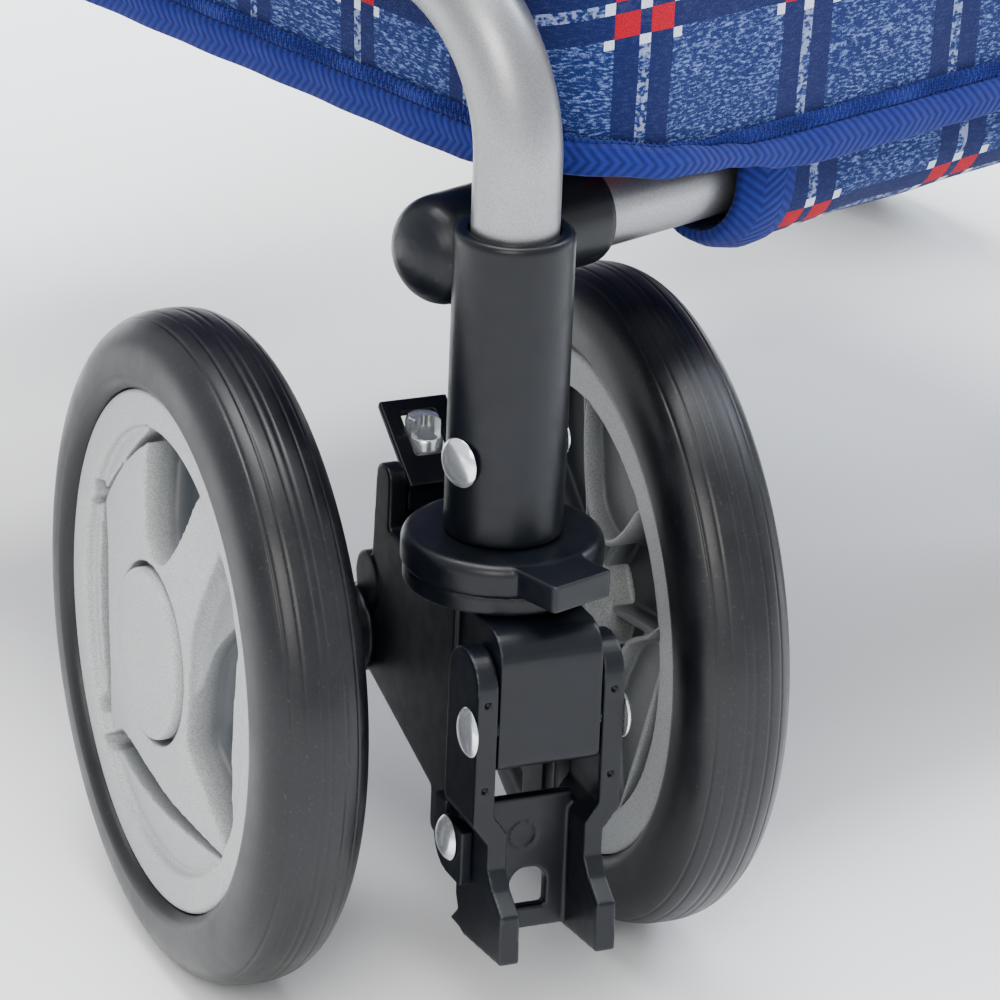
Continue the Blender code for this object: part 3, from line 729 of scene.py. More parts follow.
def stem_bracket():
    low = COLLAR_TOP + GAP
    profile = [(0, low), (SLEEVE_R - 0.4, low), (SLEEVE_R, low + 0.6), (SLEEVE_R, SLEEVE_TOP - 1.4),
               (SLEEVE_R - 0.4, SLEEVE_TOP - 0.4), (SLEEVE_R - 1.2, SLEEVE_TOP), (0, SLEEVE_TOP)]
    behind = (CROSS_BACK, CROSS_Z)
    steps = [
        ("UNION", turned(barrel_profile(), 64, "X", behind)),
        ("UNION", box((-2.5, 2.5), (9, 16), (162, CROSS_Z))),
        ("DIFFERENCE", rod(TUBE_R + 0.5, 122, 200)),
        ("DIFFERENCE", rod(TUBE_R + 0.5, 6, 60, "X", behind)),
        ("DIFFERENCE", rod(2.8, -20, 20, "X", (0, STEM_RIVET_Z))),
    ]
    mesh = softened(carved(turned(profile), steps))
    both_sides("bracket", mesh, "black_plastic", "root", ["{side}_stem_bracket"])


def rivet(head_r, head_at, rise, shank_r, centre):
    """A rivet with a domed head at each end and a small rolled rim."""
    end = [(shank_r, head_at), (head_r - 0.2, head_at), (head_r, head_at + 0.25),
           (head_r - 0.15, head_at + 0.5)]
    for step in range(1, 9):
        angle = math.pi / 2 * step / 8
        end.append(((head_r - 0.4) * math.cos(angle), head_at + 0.45 + (rise - 0.45) * math.sin(angle)))
    end[-1] = (0, head_at + rise)
    return turned([(r, -h) for r, h in reversed(end)] + end, 40, "X", centre)


def stem_rivet():
    mesh = rivet(5.5, SLEEVE_R + GAP, 2.0, 2.4, (0, STEM_RIVET_Z))
    both_sides("rivet_stem", mesh, "steel", "root", ["{side}_stem_rivet"])


def side_tube():
    corners = [((0, 0, 128), 0), ((0, 0, RAIL_Z), 38), ((0, WHEELBASE - 15, RAIL_Z), 0)]
    mesh = hollow_tube(filleted(corners, 24, False), TUBE_R, TUBE_R - TUBE_WALL)
    both_sides("tube", mesh, "silver_tube", "root", ["{side}_side_tube"])


def swivel_collar():
    bore = AXLE_R + GAP
    profile = [(bore, 105.5), (21.0, 105.5), (21.4, 105.9), (21.4, 109.3), (21.1, 109.5), (21.1, 109.8),
               (21.6, 110.0), (22, 110.4), (22, 114.4)]
    profile += arc((19.4, 114.4), 2.6, 0, 90, 8) + [(bore, COLLAR_TOP)]
    tab = prism(filleted([((-12.3, -30.2), 0.8), ((4, -30.2), 0.8), ((4, -14), 0), ((-12.3, -14), 0)]),
                110.5, 116.7, "Z")
    mesh = softened(carved(turned(profile, 96, ring=True), [("UNION", tab)]), 0.4, 3)
    both_sides("collar", mesh, "black_plastic", "root", ["{side}_swivel_collar"])


# Caster ---------------------------------------------------------------------


def fork():
    boss = arc((TRAIL, AXLE_Z), 10, 50, -130, 24)
    front = [(29.8, 73, 2.5), (29.8, FORK_TOP, 7), (-33, FORK_TOP, 0), (-33, POST_TOP, 3),
             (-41, POST_TOP, 3.5)]
    lower = [(-4, 56, 0), (-4, 46, 2), (7, 46, 2), (7, 71, 0), (21, 71, 0)]
    outline = side_view(front + [(-42.5, 90, 0)]) + boss + side_view(lower)
    hollow = side_view([(21, 40, 0), (21, 92, 4), (-33, 92, 4), (-36, 40, 0)])
    inner = side_view([(-20, FORK_TOP, 3), (-20, 125, 0), (-60, 125, 0), (-60, FORK_TOP, 0)])
    steps = [
        ("UNION", rod(9.5, -17, 17, "X", (TRAIL, AXLE_Z))),
        ("UNION", rod(6.5, -13.4, 13.4, "X", (44, 88.5))),
        ("DIFFERENCE", prism(hollow, -8.8, 8.8)),
        ("DIFFERENCE", prism(inner, -9, 9)),
        ("UNION", rod(7.6, 79, 95)),
        ("UNION", box((-9.5, 9.5), (40.2, 41.2), (95, 112))),
        ("DIFFERENCE", box((11.8, 20), (-40, -6), (30, 130))),
        ("DIFFERENCE", box((-20, -11.8), (-40, -6), (30, 130))),
        ("DIFFERENCE", rod(AXLE_R + 0.5, 60, 120)),
        ("DIFFERENCE", rod(AXLE_R + 0.5, -30, 30, "X", (TRAIL, AXLE_Z))),
        ("DIFFERENCE", rod(2.5, -30, 30, "X", (-PEDAL_PIVOT[0], PEDAL_PIVOT[1]))),
        ("DIFFERENCE", rod(1.9, -12.5, 12.5, "X", (-LEVER_PIVOT[0], LEVER_PIVOT[1]))),
    ]
    mesh = softened(carved(prism(outline, -13, 13), steps), 0.4, 5)
    both_sides("fork_body", mesh, "black_plastic", "{side}_swivel", ["{side}_fork"], HEADING)


def caster_axle():
    reach = TRACK / 2 + 12.5
    profile = [(0, -reach), (AXLE_R - 0.4, -reach), (AXLE_R, 0.4 - reach), (AXLE_R, reach - 0.4),
               (AXLE_R - 0.4, reach), (0, reach)]
    mesh = turned(profile, 40, "X", (TRAIL, AXLE_Z))
    both_sides("axle", mesh, "steel", "{side}_swivel", ["{side}_caster_axle"], HEADING)


def tyre_mesh(radius, width, seat):
    """A rounded tyre with fine lines moulded round the tread and a lip where it meets the rim."""
    half = width / 2
    low = seat + 2.5
    grooves = (0.08, 0.36, 0.60)
    profile = []
    steps = 150
    for step in range(steps + 1):
        angle = -math.pi / 2 + math.pi * step / steps
        across = half * math.copysign(abs(math.sin(angle)) ** 0.80, angle)
        out = low + (radius - low) * math.cos(angle) ** 0.72 if step not in (0, steps) else low
        share = abs(across) / half
        notch = sum(0.22 * math.exp(-((share - at) / 0.018) ** 2) for at in grooves)
        profile.append((out - notch, across))
    foot = [(seat, half * 0.84), (seat, -half * 0.84)]
    return turned(profile + foot, 160, "X", ring=True)


WINDOWS = (
    ((50, 72), (43, 70), (33, 70), (25, 75), (22.5, 88), (25, 102), (33, 109), (43, 111), (50, 106)),
    ((50, 34), (37, 30), (28, 22), (24, 4), (23.5, -14), (26, -30), (35, -36), (43, -39), (50, -36)),
    ((50, -45), (41, -54), (33, -74), (29.5, -98), (33, -120), (41, -131), (50, -130)),
    ((50, 156), (43, 158), (36, 165), (31.5, 182), (33, 200), (41, 214), (50, 216)),
)
SPOKE_END = ((50, 107), (46.5, 110), (44.8, 120), (44.3, 134), (45, 148), (47, 157), (50, 159))
FACET = ((50, 50), (38, 46), (28, 34), (23.5, 12), (24, -4), (30, 12), (50, 30))


def polar_loop(points, grow=0.0):
    """A smooth closed outline from (radius, degrees) points, grown outward by grow mm."""
    corners = []
    for radius, degrees in points:
        angle = math.radians(degrees)
        corners.append(Vector((radius * math.cos(angle), radius * math.sin(angle))))
    centre = sum(corners, Vector((0, 0))) / len(corners)
    curve = smooth_loop(corners)
    return [p + (p - centre).normalized() * grow for p in curve]


def scooped_cut(points, near, far, shallow, deep):
    """A recess open along +X: its floor slopes from shallow, at radius near, to deep, at radius far."""
    outline = polar_loop(points)
    centre = sum(outline, Vector((0, 0))) / len(outline)
    rings = []
    for above, size in ((20.0, 1.03), (5.0, 1.0), (2.0, 0.96), (0.7, 0.88), (0.0, 0.72)):
        ring = []
        for corner in outline:
            flat = centre.lerp(corner, size)
            share = min(1, max(0, (flat.length - near) / (far - near)))
            floor = shallow + (deep - shallow) * share
            ring.append(Vector((20.0 if above == 20.0 else floor + above, flat.x, flat.y)))
        rings.append(ring)
    return loft(rings)


def spread(points, scale):
    """An outline of (radius, degrees) points for a larger rim, kept where it is near the hub."""
    return [(radius * scale if radius > 30 else radius, turn) for radius, turn in points]


def rim_mesh(radius, bore):
    """A dished wheel with swirling spokes on its outer face (+X) and ribs and pockets on its inner face."""
    scale = radius / RIM_R
    ring_in = 50 * scale
    profile = [(radius, -10.5), (radius, 9.9), (radius - 0.6, 10.5), (ring_in + 1, 10.3), (ring_in, 9.8),
               (ring_in - 0.4, 8.0), (26, 12.4), (20.6, 12.8), (20.6, 8.0), (bore, 8.0), (bore, -13),
               (13, -13), (13, -1), (ring_in - 1.5, -1), (ring_in - 0.5, -11), (radius - 1, -11)]
    windows = [spread(points, scale) for points in WINDOWS]
    steps = [("UNION", prism(polar_loop(window, 1.3), -9.5, 1.0)) for window in windows]
    for index in range(8):
        angle = math.radians(31 + 45 * index)
        along = Vector((math.cos(angle), math.sin(angle)))
        side = Vector((-along.y, along.x)) * 0.9
        corners = [along * 11 - side, along * ring_in - side, along * ring_in + side, along * 11 + side]
        steps.append(("UNION", prism(corners, -6.5, 3.0)))
    steps.append(("INTERSECT", rod(radius, -30, 30, "X", segments=128)))
    for window in windows:
        steps.append(("DIFFERENCE", scooped_cut(window, 24 * scale, ring_in, 3.5, -2.5)))
        steps.append(("DIFFERENCE", prism(polar_loop(window, -0.2), -20, -5.0)))
    steps.append(("DIFFERENCE", scooped_cut(spread(SPOKE_END, scale), 40 * scale, ring_in, 4.5, 2.0)))
    steps.append(("DIFFERENCE", scooped_cut(spread(FACET, scale), 24 * scale, ring_in, 9.0, 3.0)))
    steps.append(("DIFFERENCE", rod(bore, -30, 30, "X")))
    mesh = softened(carved(turned(profile, 160, "X", ring=True), steps), 0.42, 4, 0.45)
    paint_recess_shade(mesh, ring_in)
    return mesh


def paint_recess_shade(mesh, ring_in):
    """Gives each vert its depth under the rim's face, 0 to 1, which the finish darkens as painted shade."""
    recess = mesh.verts.layers.float.new("recess")
    for vert in mesh.verts:
        reach = Vector((vert.co.y, vert.co.z)).length
        face = 10.0 if reach > ring_in else 12.6 - 4.6 * max(0, reach - 24) / (ring_in - 24)
        sunk = face - vert.co.x - 1.0 if vert.co.x > -4 else vert.co.x + 10
        vert[recess] = min(1, max(0, sunk / 7)) if 14 < reach < ring_in + 1 else 0


def hub_cap_mesh():
    profile = [(0, 11.0), (18.6, 11.0), (19.15, 11.6), (19.15, 13.4), (18.9, 13.9), (18.2, 14.2),
               (10, 14.4), (0, 14.5)]
    return turned(profile, 96, "X")


def hub_tube_mesh(bore):
    """The inner end of the hub, reaching towards the fork."""
    profile = [(bore, -12), (12.6, -12), (13, -13), (12.6, -30.6), (12.0, -31.2), (bore, -31.2)]
    return turned(profile, 64, "X", ring=True)


def caster_wheels():
    """Four caster wheels, each a tyre, a rim, a cap and a hub; every face looks away from its fork."""
    tyre = tyre_mesh(TYRE_R, 25.4, RIM_R + GAP)
    rim = rim_mesh(RIM_R, AXLE_R + GAP)
    cap = hub_cap_mesh()
    hub = hub_tube_mesh(AXLE_R + GAP)
    for wheel, outward, turn in (("outer", -1, 0), ("inner", 1, -22)):
        facing = MIRROR if outward < 0 else Matrix.Identity(4)
        hung = Matrix.Translation((outward * TRACK / 2, TRAIL, AXLE_Z)) @ facing
        # The wheel's first in-plane axis points forward, which is -Y.
        spun = hung @ Matrix.Scale(-1, 4, (0, 1, 0)) @ Matrix.Rotation(math.radians(turn), 4, "X")
        for side, place in SIDES.items():
            body = f"{side}_{wheel}_wheel"
            stands = f"{side}_{wheel}"
            at = place @ HEADING @ spun
            place_piece(f"{stands}_tyre_tread", tyre, "tyre_rubber", body, [f"{stands}_tyre"], at, sharp=0)
            place_piece(f"{stands}_wheel_rim", rim, "grey_plastic", body, [f"{stands}_rim"], at, sharp=0)
            place_piece(f"{stands}_cap", cap, "grey_plastic", body, [f"{stands}_hub_cap"], at)
            place_piece(f"{stands}_hub", hub, "grey_plastic", body, (), at)
    for mesh in (tyre, rim, cap, hub):
        mesh.free()


def lock_pedal():
    """The pedal: two ears, a channel with an arched foot, a raised ring and four pips."""
    wall = [(12.1, 101), (17, 101), (17, 62), (13.4, 57), (13.4, 28), (8.9, 28), (8.9, 59), (12.1, 63.5)]
    both = prism(wall, -45, -5, "Y")
    other = prism([(-u, z) for u, z in wall], -45, -5, "Y")
    outline = [(30, 51, 0), (30, 100, 8), (13, 100, 8), (13, 38, 0), (14.5, 35, 0), (10.5, 31, 0),
               (15.5, 31, 0), (18, 30.3, 0), (39, 32.3, 0.8), (38.6, 43.5, 0.8), (33, 47.3, 0)]
    arch = filleted([((-4.2, 36.5), 0), ((4.2, 36.5), 0), ((4.2, 46), 3.8), ((-4.2, 46), 3.8)])
    ring = [(2.6, -22), (3.4, -22), (3.4, -21.1), (2.6, -21.1)]
    steps = [
        ("UNION", other),
        ("INTERSECT", prism(side_view(outline), -20, 20)),
        ("UNION", box((-9.6, 9.6), (-21.5, -18.5), (31.5, 63))),
        ("DIFFERENCE", prism(arch, -30, -10, "Y")),
        ("DIFFERENCE", rod(2.5, -30, 30, "X", (-PEDAL_PIVOT[0], PEDAL_PIVOT[1]))),
        ("DIFFERENCE", rod(2.5, -30, -5, "X", (-PLATE_RIVET[0], PLATE_RIVET[1]))),
        ("DIFFERENCE", turned(ring, 40, "Y", (-1.5, 54), ring=True)),
    ]
    for sign in (-1, 1):
        for height in (90, 70):
            steps.append(("DIFFERENCE", rod(0.8, -31, -29, "Y", (sign * 14.6, height), 20)))
    mesh = softened(carved(both, steps), 0.4, 4)
    both_sides("pedal_body", mesh, "black_plastic", "{side}_pedal", ["{side}_lock_pedal"], HEADING)


def pedal_rivet():
    mesh = rivet(5.5, 17 + GAP, 1.8, 2.0, (-PEDAL_PIVOT[0], PEDAL_PIVOT[1]))
    both_sides("rivet_pedal", mesh, "steel", "{side}_swivel", ["{side}_pedal_rivet"], HEADING)


def guard_plate():
    outline = side_view([(6, 60, 1), (12.4, 60, 0), (12.4, 56.6, 0), (22, 56.6, 0), (22, 44, 1), (6, 44, 8)])
    centre = (-PLATE_RIVET[0], PLATE_RIVET[1])
    steps = [("DIFFERENCE", rod(2.5, -30, -5, "X", centre))]
    mesh = softened(carved(prism(outline, -16.2, -13.7), steps), 0.3, 3)
    both_sides("plate", mesh, "black_plastic", "{side}_pedal", ["{side}_guard_plate"], HEADING)
    profile = [(0, -18.6), (1.8, -18.5), (3.3, -18.1), (4.4, -17.4), (5, -16.7), (4.9, -16.5), (2, -16.5),
               (2, -8.2), (0, -8.2)]
    mesh = turned(profile, 40, "X", centre)
    both_sides("rivet_plate", mesh, "steel", "{side}_pedal", ["{side}_plate_rivet"], HEADING)


def along_lever(distance, height):
    """A (forward, up) point on the lever: distance from its front end, height off its underside."""
    front, back = Vector(LEVER_FRONT), Vector(LEVER_BACK)
    run = (back - front).normalized()
    return front + run * distance + Vector((run.y, -run.x)) * height


def lever_slab(first, last, low, high, half):
    """A block on the lever, from first to last along it and from low to high above its underside."""
    corners = [(first, low), (last, low), (last, high), (first, high)]
    outline = [(-p.x, p.y) for p in (along_lever(*corner) for corner in corners)]
    return prism(outline, -half, half)


def lock_lever():
    """The sheet lever behind the stem, and the bright bush that stands on it."""
    length = (Vector(LEVER_BACK) - Vector(LEVER_FRONT)).length
    pin_at = (-LEVER_PIVOT[0], LEVER_PIVOT[1])
    steps = [
        ("DIFFERENCE", lever_slab(8, length - 3.5, -3, 5, 4)),
        ("UNION", box((-8, 8), (34.4, 38.6), (108, 114))),
        ("UNION", rod(1.5, -12.2, 12.2, "X", pin_at)),
    ]
    mesh = softened(carved(lever_slab(0, length, 0, 2, 8), steps), 0.28, 8)
    both_sides("lever", mesh, "black_plastic", "{side}_lever", ["{side}_lock_lever"], HEADING)
    profile = [(0, 112.2), (4.2, 112.2), (4.2, 113.1), (2.5, 113.2), (2.5, 114.1), (3.8, 114.3),
               (3.9, 114.6), (3.9, 120.3), (3.5, 120.8), (0, 120.8)]
    tall = [(0, 114), (3.7, 114), (4.0, 114.4), (4.0, 123.8), (3.3, 124.8), (0, 125.2)]
    steps = [
        ("UNION", turned(tall, 48, centre=(0, 46.8))),
        ("DIFFERENCE", box((-5, 5), (38, 44.8), (120.8, 130))),
        ("DIFFERENCE", rod(2.2, 116, 130, centre=(0, 43.9))),
    ]
    bush = carved(turned(profile, 48, centre=(0, 45.0)), steps)
    both_sides("lever_bush", bush, "steel", "{side}_lever", ["{side}_lever_barrel"], HEADING)


# Rear and handle --------------------------------------------------------------


def rear_connector():
    ahead = (REAR_CROSS_BACK, CROSS_Z)
    brake_at = (WHEELBASE + 30, 192)
    lug = arc(brake_at, 9, -90, 90, 20) + [(WHEELBASE + 13, 201), (WHEELBASE + 13, 183)]
    steps = [
        ("UNION", turned(barrel_profile(), 64, "X", ahead)),
        ("UNION", rod(BARREL_R, WHEELBASE - 42, WHEELBASE - 8, "Y", (0, RAIL_Z))),
        ("UNION", prism(lug, -6, 6)),
        ("DIFFERENCE", rod(TUBE_R + 0.5, WHEELBASE - 60, WHEELBASE - 14, "Y", (0, RAIL_Z))),
        ("DIFFERENCE", rod(TUBE_R + 0.5, 6, 60, "X", ahead)),
        ("DIFFERENCE", rod(4.4, -20, 20, "X", brake_at)),
        ("DIFFERENCE", rod(UPRIGHT_R + 0.5, 150, 270, centre=(0, WHEELBASE))),
    ]
    mesh = softened(carved(rod(15, 158, 262, centre=(0, WHEELBASE), segments=72), steps), 0.55, 4)
    both_sides("connector", mesh, "black_plastic", "root", ["{side}_rear_connector"])


def rear_upright():
    path = [Vector((0, WHEELBASE, z)) for z in (112, UPRIGHT_TOP)]
    mesh = hollow_tube(path, UPRIGHT_R, TUBE_R + 0.6, 56)
    both_sides("upright", mesh, "silver_tube", "root", ["{side}_rear_upright"])


def rear_foot():
    plate = side_view([(17 - WHEELBASE, 112, 6), (17 - WHEELBASE, 72, 14), (-17 - WHEELBASE, 72, 14),
                       (-17 - WHEELBASE, 112, 6)])
    steps = [
        ("UNION", prism(plate, -11, 11)),
        ("DIFFERENCE", rod(UPRIGHT_R + 0.5, 111.7, 150, centre=(0, WHEELBASE))),
        ("DIFFERENCE", rod(AXLE_R + 0.5, -20, 20, "X", (WHEELBASE, REAR_AXLE_Z))),
    ]
    mesh = softened(carved(rod(15, 100, 138, centre=(0, WHEELBASE), segments=72), steps), 0.5, 4)
    both_sides("foot", mesh, "black_plastic", "root", ["{side}_rear_foot"])


def rear_wheels():
    tyre = tyre_mesh(REAR_AXLE_Z, 26, REAR_RIM_R + GAP)
    rim = rim_mesh(REAR_RIM_R, AXLE_R + GAP)
    cap = hub_cap_mesh()
    at = Matrix.Translation((-REAR_WHEEL_OUT, WHEELBASE, REAR_AXLE_Z)) @ MIRROR
    for side, place in SIDES.items():
        body = f"{side}_rear_wheel"
        where = place @ at
        place_piece(f"{side}_back_tyre", tyre, "tyre_rubber", body, [f"{side}_rear_tyre"], where, sharp=0)
        place_piece(f"{side}_back_rim", rim, "grey_plastic", body, [f"{side}_rear_rim"], where, sharp=0)
        place_piece(f"{side}_back_cap", cap, "grey_plastic", body, (), where)
    for mesh in (tyre, rim, cap):
        mesh.free()


def rear_axles():
    outer, seat = -REAR_WHEEL_OUT - 16, 11 + GAP
    profile = [(0, outer), (AXLE_R - 0.5, outer), (AXLE_R, outer + 0.5), (AXLE_R, seat), (6.6, seat),
               (7, seat + 0.4), (7, seat + 2.4), (6.4, seat + 3), (0, seat + 3)]
    axle = turned(profile, 40, "X", (WHEELBASE, REAR_AXLE_Z))
    both_sides("axle_bolt", axle, "steel", "root", ["{side}_rear_axle"])


def cross_tubes():
    reach = STEM_HALF - 6 - GAP
    bore = TUBE_R - TUBE_WALL
    for name, setback, node in (("front_bar", CROSS_BACK, "front_cross_tube"),
                                ("back_bar", REAR_CROSS_BACK, "rear_cross_tube")):
        ring = [(bore, -reach), (TUBE_R, -reach), (TUBE_R, reach), (bore, reach)]
        mesh = turned(ring, 48, "X", (setback, CROSS_Z), ring=True)
        place_piece(name, mesh, "silver_tube", "root", [node])


def brake():
    """The bar with its ribbed pedal in the middle and a shoe over each rear tyre."""
    reach = STEM_HALF + REAR_WHEEL_OUT + 14
    back, up = WHEELBASE + 30, 192
    upper = [((back - 3, up + 3), 0), ((back + 12, up + 3), 4), ((back + 46, up - 30), 1)]
    lower = [((back + 43, up - 34), 1), ((back + 11, up - 3), 4), ((back - 3, up - 3), 0)]
    steps = [("UNION", prism(filleted(upper + lower), -55, 55))]
    shoe = filleted([((back - 6, up + 6), 3), ((back + 6, up + 6), 3), ((back + 4, up - 15), 1),
                     ((back - 4, up - 15), 1)])
    for sign in (-1, 1):
        at = sign * (STEM_HALF + REAR_WHEEL_OUT)
        steps.append(("UNION", prism(shoe, at - 11, at + 11)))
    slope = Vector((34, -33)).normalized()
    rise = Vector((-slope.y, slope.x))
    for index in range(7):
        start = Vector((back + 16, up + 0.2)) + slope * (4.5 * index)
        end = start + slope * 1.8
        rib = [start - rise * 1.5, start + rise * 0.9, end + rise * 0.9, end - rise * 1.5]
        steps.append(("UNION", prism(rib, -48, 48)))
    mesh = softened(carved(rod(AXLE_R, -reach, reach, "X", (back, up)), steps), 0.6, 3)
    place_piece("brake_pedal", mesh, "black_plastic", "brake", ["brake_bar"])


def handle():
    half = STEM_HALF
    corners = [((-half, WHEELBASE, HANDLE_FOOT), 0), ((-half, WHEELBASE, HANDLE_BEND), 60),
               ((-half, HANDLE_BACK, HANDLE_TOP), 45), ((half, HANDLE_BACK, HANDLE_TOP), 45),
               ((half, WHEELBASE, HANDLE_BEND), 60), ((half, WHEELBASE, HANDLE_FOOT), 0)]
    mesh = hollow_tube(filleted(corners, 16, False), TUBE_R, TUBE_R - TUBE_WALL)
    place_piece("push_handle", mesh, "silver_tube", "handle", ["handle_tube"])
    profile = [(10, -100), (12.5, -100)]
    steps = 60
    for step in range(steps + 1):
        across = -98 + 196 * step / steps
        ridge = 0.5 * math.cos(across / 14 * 2 * math.pi) if abs(across) < 80 else 0.5
        profile.append((14.0 + ridge, across))
    profile += [(12.5, 100), (10, 100)]
    mesh = turned(profile, 64, "X", (HANDLE_BACK, HANDLE_TOP), ring=True)
    place_piece("grip", mesh, "foam", "handle", ["handle_grip"])


def height_collar():
    """The collar that clamps the handle, with a fluted knob behind it."""
    low, high = UPRIGHT_TOP - 18, UPRIGHT_TOP + 16
    profile = [(0, 0), (4, 0), (4, 8), (10.4, 8), (11, 8.6), (11, 18), (9, 20), (0, 20)]
    knob = turned(profile, 64, "Y", (0, UPRIGHT_TOP))
    knob.transform(Matrix.Translation((0, WHEELBASE + 13, 0)))
    steps = [("UNION", knob)]
    for index in range(12):
        angle = 2 * math.pi * index / 12
        centre = (11.6 * math.cos(angle), UPRIGHT_TOP + 11.6 * math.sin(angle))
        steps.append(("DIFFERENCE", rod(1.3, WHEELBASE + 20, WHEELBASE + 40, "Y", centre, 16)))
    steps += [
        ("DIFFERENCE", rod(UPRIGHT_R + 0.5, low - 5, UPRIGHT_TOP + GAP, centre=(0, WHEELBASE))),
        ("DIFFERENCE", rod(TUBE_R + 0.6, low - 5, high + 5, centre=(0, WHEELBASE))),
    ]
    mesh = softened(carved(rod(15.5, low, high, centre=(0, WHEELBASE), segments=72), steps), 0.5, 3)
    both_sides("clamp_collar", mesh, "black_plastic", "root", ["{side}_height_collar"])


# Bag --------------------------------------------------------------------------


def plan(spacing):
    """Points round the bag's plan, evenly spaced, with each point's outward direction, and the way round."""
    places = ((-BAG_HALF, BAG_BACK), (-BAG_HALF, BAG_FRONT), (BAG_HALF, BAG_FRONT), (BAG_HALF, BAG_BACK))
    coarse = filleted([(place, BAG_CORNER) for place in places], 10)
    lengths = [(coarse[(i + 1) % len(coarse)] - p).length for i, p in enumerate(coarse)]
    total = sum(lengths)
    count = round(total / spacing)
    points, index, run = [], 0, 0.0
    for number in range(count):
        target = total * number / count
        while run + lengths[index] < target:
            run += lengths[index]
            index += 1
        share = (target - run) / lengths[index]
        points.append(coarse[index].lerp(coarse[(index + 1) % len(coarse)], share))
    outward = []
    for number, point in enumerate(points):
        heading = (points[(number + 1) % count] - points[number - 1]).normalized()
        outward.append(Vector((heading.y, -heading.x)))
    return points, outward, total


def belly(point, height):
    """How far the cloth stands out from the bag's plan: full between the rails and seams, and creased."""
    x, y = point
    up = (height - BAG_BOTTOM) / (BAG_TOP - BAG_BOTTOM)
    rise = math.sin(math.pi * min(1, max(0, up / 0.85))) ** 1.5
    along_front = max(0, 1 - (x / (BAG_HALF - 12)) ** 2)
    middle_y = (BAG_FRONT + BAG_BACK) / 2
    along_side = max(0, 1 - ((y - middle_y) / ((BAG_BACK - BAG_FRONT) / 2 - 14)) ** 2)
    front_or_back = abs(x) < BAG_HALF - 8
    bulge = (8.0 * along_front if front_or_back else 5.0 * along_side) * rise
    if not front_or_back:
        near_rail = math.exp(-((height - RAIL_Z) / 22) ** 2)
        bulge *= 1 - near_rail
    crease = noise.noise(Vector((x * 0.016, y * 0.016, height * 0.011))) * 2.2
    fine = noise.noise(Vector((x * 0.06, y * 0.06, height * 0.035))) * 0.7
    edge = min(1, up / 0.06) * min(1, (1 - up) / 0.1)
    return bulge + (crease + fine) * edge * 0.8


def grid_surface(rows, places, loop=True):
    """A cloth surface through rows of points; places give each point's texture place in mm."""
    mesh = bmesh.new()
    mesh.loops.layers.uv.new("UVMap")
    verts = [[mesh.verts.new(point) for point in row] for row in rows]
    count = len(rows[0])
    for low in range(len(rows) - 1):
        for index in range(count if loop else count - 1):
            ahead = (index + 1) % count
            high, after = low + 1, index + 1
            textured_face(
                mesh,
                (verts[low][index], verts[low][ahead], verts[high][ahead], verts[high][index]),
                (places[low][index], places[low][after], places[high][after], places[high][index]),
            )
    return closed(mesh)


def thickened(mesh, thickness):
    """A sheet given its thickness, growing inward, with its texture places kept."""
    obj = temporary("sheet", mesh)
    solid = obj.modifiers.new("thick", "SOLIDIFY")
    solid.thickness = thickness
    solid.offset = -1
    solid.use_even_offset = True
    return applied(obj)


def lower_edge(point):
    """The lower and upper height of the binding there, above the bag's bottom."""
    inward = STEM_HALF - abs(point.x)
    if inward < FRONT_EDGE[0][0]:
        return 1.8, 10.0
    for (start, *first), (end, *last) in zip(FRONT_EDGE, FRONT_EDGE[1:]):
        if inward <= end:
            share = (inward - start) / (end - start)
            share = share * share * (3 - 2 * share)
            return tuple(a + (b - a) * share for a, b in zip(first, last))
    return FRONT_EDGE[-1][1:]


def binding_edge(point, out):
    """The binding's lower and upper height there: it hangs lower along the middle of the front."""
    front = min(1, max(0, -out.y) * 3)
    side, ahead = (1.8, 10.0), lower_edge(point)
    return tuple(BAG_BOTTOM + a + (b - a) * front for a, b in zip(side, ahead))


def front_share(out):
    """1 on the bag's front, 0 on its sides and back."""
    return max(0, -out.y) ** 4


def sett_places(points, outward, spacing):
    """Where the tartan's sett runs round the bag: the side panels are cut with a tighter sett."""
    runs = [0.0]
    for out in outward:
        pace = 1.0 if abs(out.y) > 0.99 else SIDE_SETT if abs(out.x) > 0.99 else 1.05
        runs.append(runs[-1] + spacing * pace)
    first = next(index for index, out in enumerate(outward) if out.y < -0.999)
    shift = points[first].x + STEM_HALF + FRONT_PHASE - runs[first]
    return [run + shift for run in runs]


